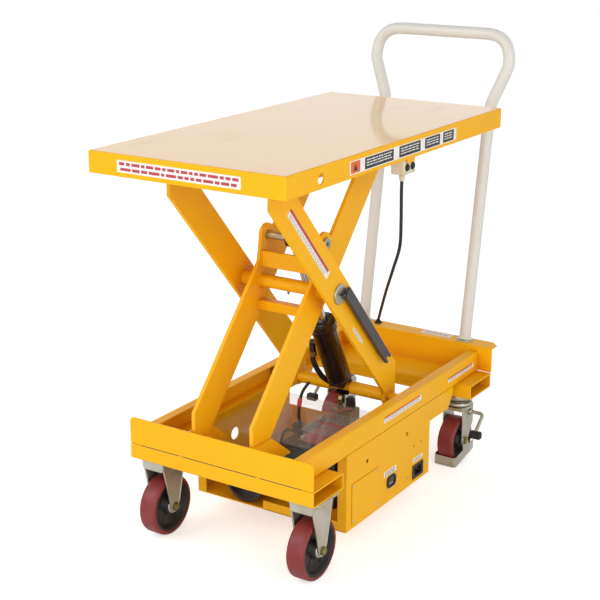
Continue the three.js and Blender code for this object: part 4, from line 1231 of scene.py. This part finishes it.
def fork_legs(outline, cx):
    return [plate(outline, *sorted((cx + q * LEG_INNER, cx + q * LEG_OUTER)), "x") for q in (-1, 1)]


def front_caster(side, s):
    node = "front_caster_fork_" + side
    cx, (cy, cz) = s * FRONT_CASTER_X, pivot(f"front_wheel_{side}_spin")
    top = span(node)[2][1]
    under = top - PLATE_SHEET
    mount, bolts = top_plate(cx, cy, top)
    leg = arc((cy, cz), 15, 193, 347, 20) + [(cy + 46, under), (cy - 46, under)]
    steel = [mount, *fork_legs(leg, cx)]
    steel.append(box(about(cx, 30.5), about(cy, 44), (under - 4.5, under - 0.2), 0.8))
    for q in (-1, 1):
        lip = round_box(about(cx, 30.6), (under - 26, under - 0.1), 5)
        steel.append(plate(lip, *sorted((cy + q * 41.5, cy + q * 45.6)), "y", (), 1.6, 3))
        for u in about(cx, LEG_OUTER - 0.6):
            steel.append(swept([(u, cy + q * 16.2, cz + 8), (u, cy + q * 44.2, under - 3)], 1.7, 10))
    spacer = [(0, 10.2), (0, 15), (2, 18), (3.6, 18.5), (3.6, 10.2)]
    for q in (-1, 1):
        steel.append(turned(spacer, (cx + q * LEG_INNER, cy, cz), (-q, 0, 0), 40))
    hardware = axle(cx, LEG_OUTER, (cy, cz)) + bolts
    cad_piece(node, "base", "zinc_plate", (steel, ZINC), (hardware, BRASSY))


def toe_guard(x, y):
    """Sheet band bent round the foot of the wheel, climbing towards the rear."""
    half, corner = LEG_OUTER + 0.8, 7
    front, rear = y - 57, y + 52
    plan = [(x - half, rear), (x - half, front + corner + 16)]
    plan += arc((x - half + corner, front + corner), corner, 180, 270, 6)
    plan += arc((x + half - corner, front + corner), corner, 270, 360, 6)
    plan += [(x + half, front + corner + 16), (x + half, rear)]
    bm = bmesh.new()
    rows = []
    for px, py in plan:
        low = 2 + 20 * (py - front) / (rear - front)
        rows.append((bm.verts.new((px, py, low)), bm.verts.new((px, py, low + 27))))
    for (a, b), (c, d) in zip(rows, rows[1:]):
        bm.faces.new((a, c, d, b))
    band = bevel_sharp(thickened(bm, 2, 0), 0.5, 1, 60)
    return [band, bead([(x - 6, front - 0.3, 4), (x - 6, front - 0.3, 28)], 0.8)]


def swivel_plate(side, cx, cy):
    node = "rear_swivel_plate_" + side
    at = (cx, cy, 0)
    mount, bolts = top_plate(cx, cy, span(node)[2][1])
    lower = [(160.5, 0), (160.5, 33), (162, 36), (167, 36.8), (170, 35), (171, 29), (173, 29), (173, 0)]
    upper = [(176, 0), (176, 31), (179, 35), (183, 37), (190, 37), (194, 35), (204.6, 35), (204.6, 0)]
    races = [turned(lower, at, Z, 64), turned(upper, at, Z, 64)]
    balls = turned([(172, 0), (172, 26), (177, 26), (177, 0)], at, Z, 64)
    pin = turned([(143.5, 0), (143.5, 8), (172.5, 8), (172.5, 0)], at, Z, 32)
    nut = rod((cx, cy, 142.2), (cx, cy, 151.6), 12, 1.2, 6)
    parts = [([mount, *races], ZINC), (balls, BLACK_PAINT), ([pin, nut, *bolts], BRASSY)]
    cad_piece(node, "base", "zinc_plate", *parts)


def rear_caster(side, s):
    swivel = JOINTS[f"rear_caster_{side}_swivel"]["pos_m"]
    cx, cy = swivel[0] / MM, (swivel[1] - MID_Y) / MM
    wy, wz = pivot(f"rear_wheel_{side}_spin")
    swivel_plate(side, cx, cy)
    crown = (152, 160)
    front, rear = wy - 14, cy + 28
    leg = arc((wy, wz), 16, 186, 333, 20)
    leg += [(rear, 104), (rear, crown[1] - 0.3), (front, crown[1] - 0.3)]
    hole = rod((cx, cy, 140), (cx, cy, 170), 8.4, 0.1)
    bridge = carve(box(about(cx, 30.8), (cy - 42, rear), crown, 1.8, 3), hole)
    dish = [(152.4, 9), (152.4, 36), (153.6, 37), (158.4, 37), (159.6, 36), (159.6, 9)]
    tab = arc((wy, wz), 14, 17, 197, 14) + arc((wy + 6, 44), 18, 197, 377, 14)
    tab_face = LEG_OUTER + 2.2
    tabs = [plate(tab, *sorted((cx + q * LEG_OUTER, cx + q * tab_face)), "x", (), 0.5) for q in (-1, 1)]
    head = [(0, 0), (0, 3.6), (1.2, 3.2), (1.9, 0)]
    rivets = [
        turned(head, (cx + q * LEG_OUTER, cy + v, 148), (q, 0, 0), 20) for q in (-1, 1) for v in (-26, 14)
    ]
    steel = [*fork_legs(leg, cx), bridge, turned(dish, (cx, cy, 0), Z, 64), *toe_guard(cx, wy)]
    steel += tabs + rivets
    parts = [(steel, ZINC), (axle(cx, tab_face, (wy, wz)), BRASSY)]
    cad_piece("rear_caster_fork_" + side, f"rear_caster_{side}", "zinc_plate", *parts)
    brake_lever(side, s, cx)


def brake_lever(side, s, cx):
    y, z = pivot(f"brake_{side}_press")
    face = cx + s * (LEG_OUTER + 0.3)
    arm = s * 260
    crank = swept(bent([(face + s * 2, y, z), (arm, y, z), (arm, y - 50, z - 41)], [12]), 5, 24)
    boss = turned([(0, 0), (0, 10), (5.5, 10), (7, 8.5), (7, 0)], (face, y, z), (s, 0, 0), 40)
    pad = plate(round_box((y - 61, y - 41), (z - 53, z - 33), 5), *sided(s, 248, 278), "x", (), 2.5, 3)
    parts = [([crank, boss], ZINC), (pad, RUBBER)]
    cad_piece("brake_lever_" + side, "brake_" + side, "zinc_plate", *parts)


# ---------- cables and hoses ----------


def control_cord():
    """Cord from the control box to a grommet in the rear shelf."""
    top = span("control_box")[2][0]
    grommet = (-114, 539, SHELF)
    falls = (
        # x, y and the fall below the control box
        (232, 27, -3),
        (232, 26, 30),
        (235, 22, 98),
        (222, 42, 164),
        (134, 173, 262),
        (31, 325, 373),
        (-64, 467, 481),
        (-108, 532, 534),
    )
    path = smooth_path([(x, y, top - fall) for x, y, fall in falls] + [(-114, 539, SHELF + 4)], 12)
    cord = piece("control_cord", "base", [(swept(path, 4, 14), RUBBER)])
    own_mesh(cord)
    seal = turned([(0, 0), (0, 11), (2, 11), (4, 8), (8, 6.5), (10, 5), (10, 0)], grommet, Z, 32)
    piece("cord_grommet", "base", [(seal, RUBBER)])


def pressure_hose():
    """Its lower part rides the base and its upper part the barrel. They meet end to end."""
    valve = Vector((-4, 150, 231))
    meet = Vector((-46, 104, 322))
    bends = [(-4, 158, 242), (-10, 172, 254), (-22, 160, 268), (-38, 126, 293)]
    lower = smooth_path([valve, *bends, meet])
    nut = rod(valve, valve + Vector((0, 7, 10)), 9, 1.2, 6)
    parts = [(swept(lower, 7), RUBBER), (nut, BRASSY)]
    hose = piece("pressure_hose_lower", "base", parts)
    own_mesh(hose)
    port = HANG @ Vector((-42, 0, PORT))
    elbow = Vector((-52, port.y + 3, port.z - 2))
    end = Vector((-51, 88, 372))
    upper = smooth_path([end, (-51, 90, 352), meet])
    fitting = swept([port + Vector((5, 0, 0)), elbow, end + Vector((0, 0, 6))], 9.5)
    ferrule = rod(end + Vector((0, 0, 8)), end - Vector((0, 0, 7)), 10, 1.4, 6)
    parts = [(swept(upper, 7), RUBBER), (fitting, BLACK_PAINT), (ferrule, BRASSY)]
    piece("pressure_hose_upper", "barrel", parts)


def thin_hoses():
    bends = [(-6, 0, 330), (-18, -12, 306), (-22, -20, 276), (-20, -26, 242), (-16, -20, 206)]
    thin = swept(smooth_path(bends), 4, 14)
    clamp = rod((-19, -22, 290), (-21, -24, 270), 6, 1, 16)
    hose = piece("return_hose", "base", [(thin, RUBBER), (clamp, RED_INK)])
    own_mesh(hose)
    leads = (
        ("red", RED_INK, [(20, 55, 217), (24, 90, 226), (30, 125, 222), (30, 150, 216)]),
        ("black", RUBBER, [(20, -70, 217), (-20, -80, 226), (-50, -60, 190), (-60, -50, 150)]),
    )
    for color, material, points in leads:
        wire = swept(smooth_path(points), 3.5, 12)
        piece("battery_lead_" + color, "base", [(wire, material)])


# ---------- build ----------

deck_pieces()
control_box()
inner_arms()
outer_arms()
arm_labels()
lock_bar()
for side, s in SIDES:
    roller("upper_roller_" + side, "upper_wheel_" + side)
    roller("lower_roller_" + side, "lower_wheel_" + side)
cylinder()
base_frame()
push_handle()
power_tray()
panel_details()
battery()
pump_motor()
oil_tank()
valve_block()
splash_cover()
for side, s in SIDES:
    wheel("front", side)
    wheel("rear", side)
    front_caster(side, s)
    rear_caster(side, s)
control_cord()
pressure_hose()
thin_hoses()

# ---------- studio ----------

CAMERA_AT = (1.7193, MID_Y - 2.7067, 1.5453)
AZIMUTH, ELEVATION = math.radians(32.93), math.radians(17.27)
LENS, SENSOR = 81.35, 36
LIGHTS = (
    # name, place, width and power
    ("key", (-2.2, -3.2, 3.0), 2.6, 49),
    ("fill", (3.6, -1.8, 1.8), 2.4, 44),
    ("low", (0.9, -4.4, 0.9), 2.6, 42),
    ("back", (-2.6, 4.6, 2.4), 3.6, 4),
)


def room_light():
    """Even white backdrop for the camera, dimmer overhead and in front for the object."""
    world = bpy.data.worlds.new("studio")
    world.use_nodes = True
    bpy.context.scene.world = world
    s = Nodes(world.node_tree)
    way = s.node("ShaderNodeTexCoord").outputs["Generated"]
    split = s.node("ShaderNodeSeparateXYZ", {0: way}).outputs
    level = s.times(s.ramp(split["Y"], -1, 1, 0.72, 0.94), s.ramp(split["Z"], 0.3, 1, 1, 0.35))
    lit = s.node("ShaderNodeBackground", {0: WHITE, 1: level}).outputs[0]
    plain = world.node_tree.nodes["Background"]
    s.put(plain.inputs[0], WHITE)
    mix = s.node("ShaderNodeMixShader", {0: s.seen(), 1: lit, 2: plain.outputs[0]}).outputs[0]
    s.put(world.node_tree.nodes["World Output"].inputs[0], mix)


def aimed(name, data, at, back):
    """An object in the scene at a point, looking against the direction back."""
    o = bpy.data.objects.new(name, data)
    o.location = at
    o.rotation_mode = "QUATERNION"
    o.rotation_quaternion = (-back).to_track_quat("-Z", "Y")
    bpy.context.scene.collection.objects.link(o)
    return o


def studio():
    scene = bpy.context.scene
    scene.view_settings.view_transform = "Standard"
    floor_mesh = bpy.data.meshes.new("floor")
    bm = bmesh.new()
    bmesh.ops.create_grid(bm, x_segments=2, y_segments=2, size=12)
    bm.to_mesh(floor_mesh)
    floor = bpy.data.objects.new("floor", floor_mesh)
    scene.collection.objects.link(floor)
    s = Shader("studio_floor")
    pale = s.mix(s.ramp(s.noise(0.6), 0.3, 0.7), rgb("F6F6F4"), rgb("FAFAF9"))
    glow = s.times(s.seen(), 0.5)
    s.done(Base_Color=pale, Roughness=0.9, Emission_Color=WHITE, Emission_Strength=glow)
    floor_mesh.materials.append(s.material)
    room_light()
    target = Vector((0, MID_Y, 0.5))
    for name, at, size, power in LIGHTS:
        data = bpy.data.lights.new(name, "AREA")
        data.size = size
        data.energy = power
        aimed(name, data, at, Vector(at) - target)
    data = bpy.data.cameras.new("camera")
    data.lens = LENS
    data.sensor_width = SENSOR
    level = math.cos(ELEVATION)
    back = Vector((math.sin(AZIMUTH) * level, -math.cos(AZIMUTH) * level, math.sin(ELEVATION)))
    scene.camera = aimed("camera", data, CAMERA_AT, back)


studio()
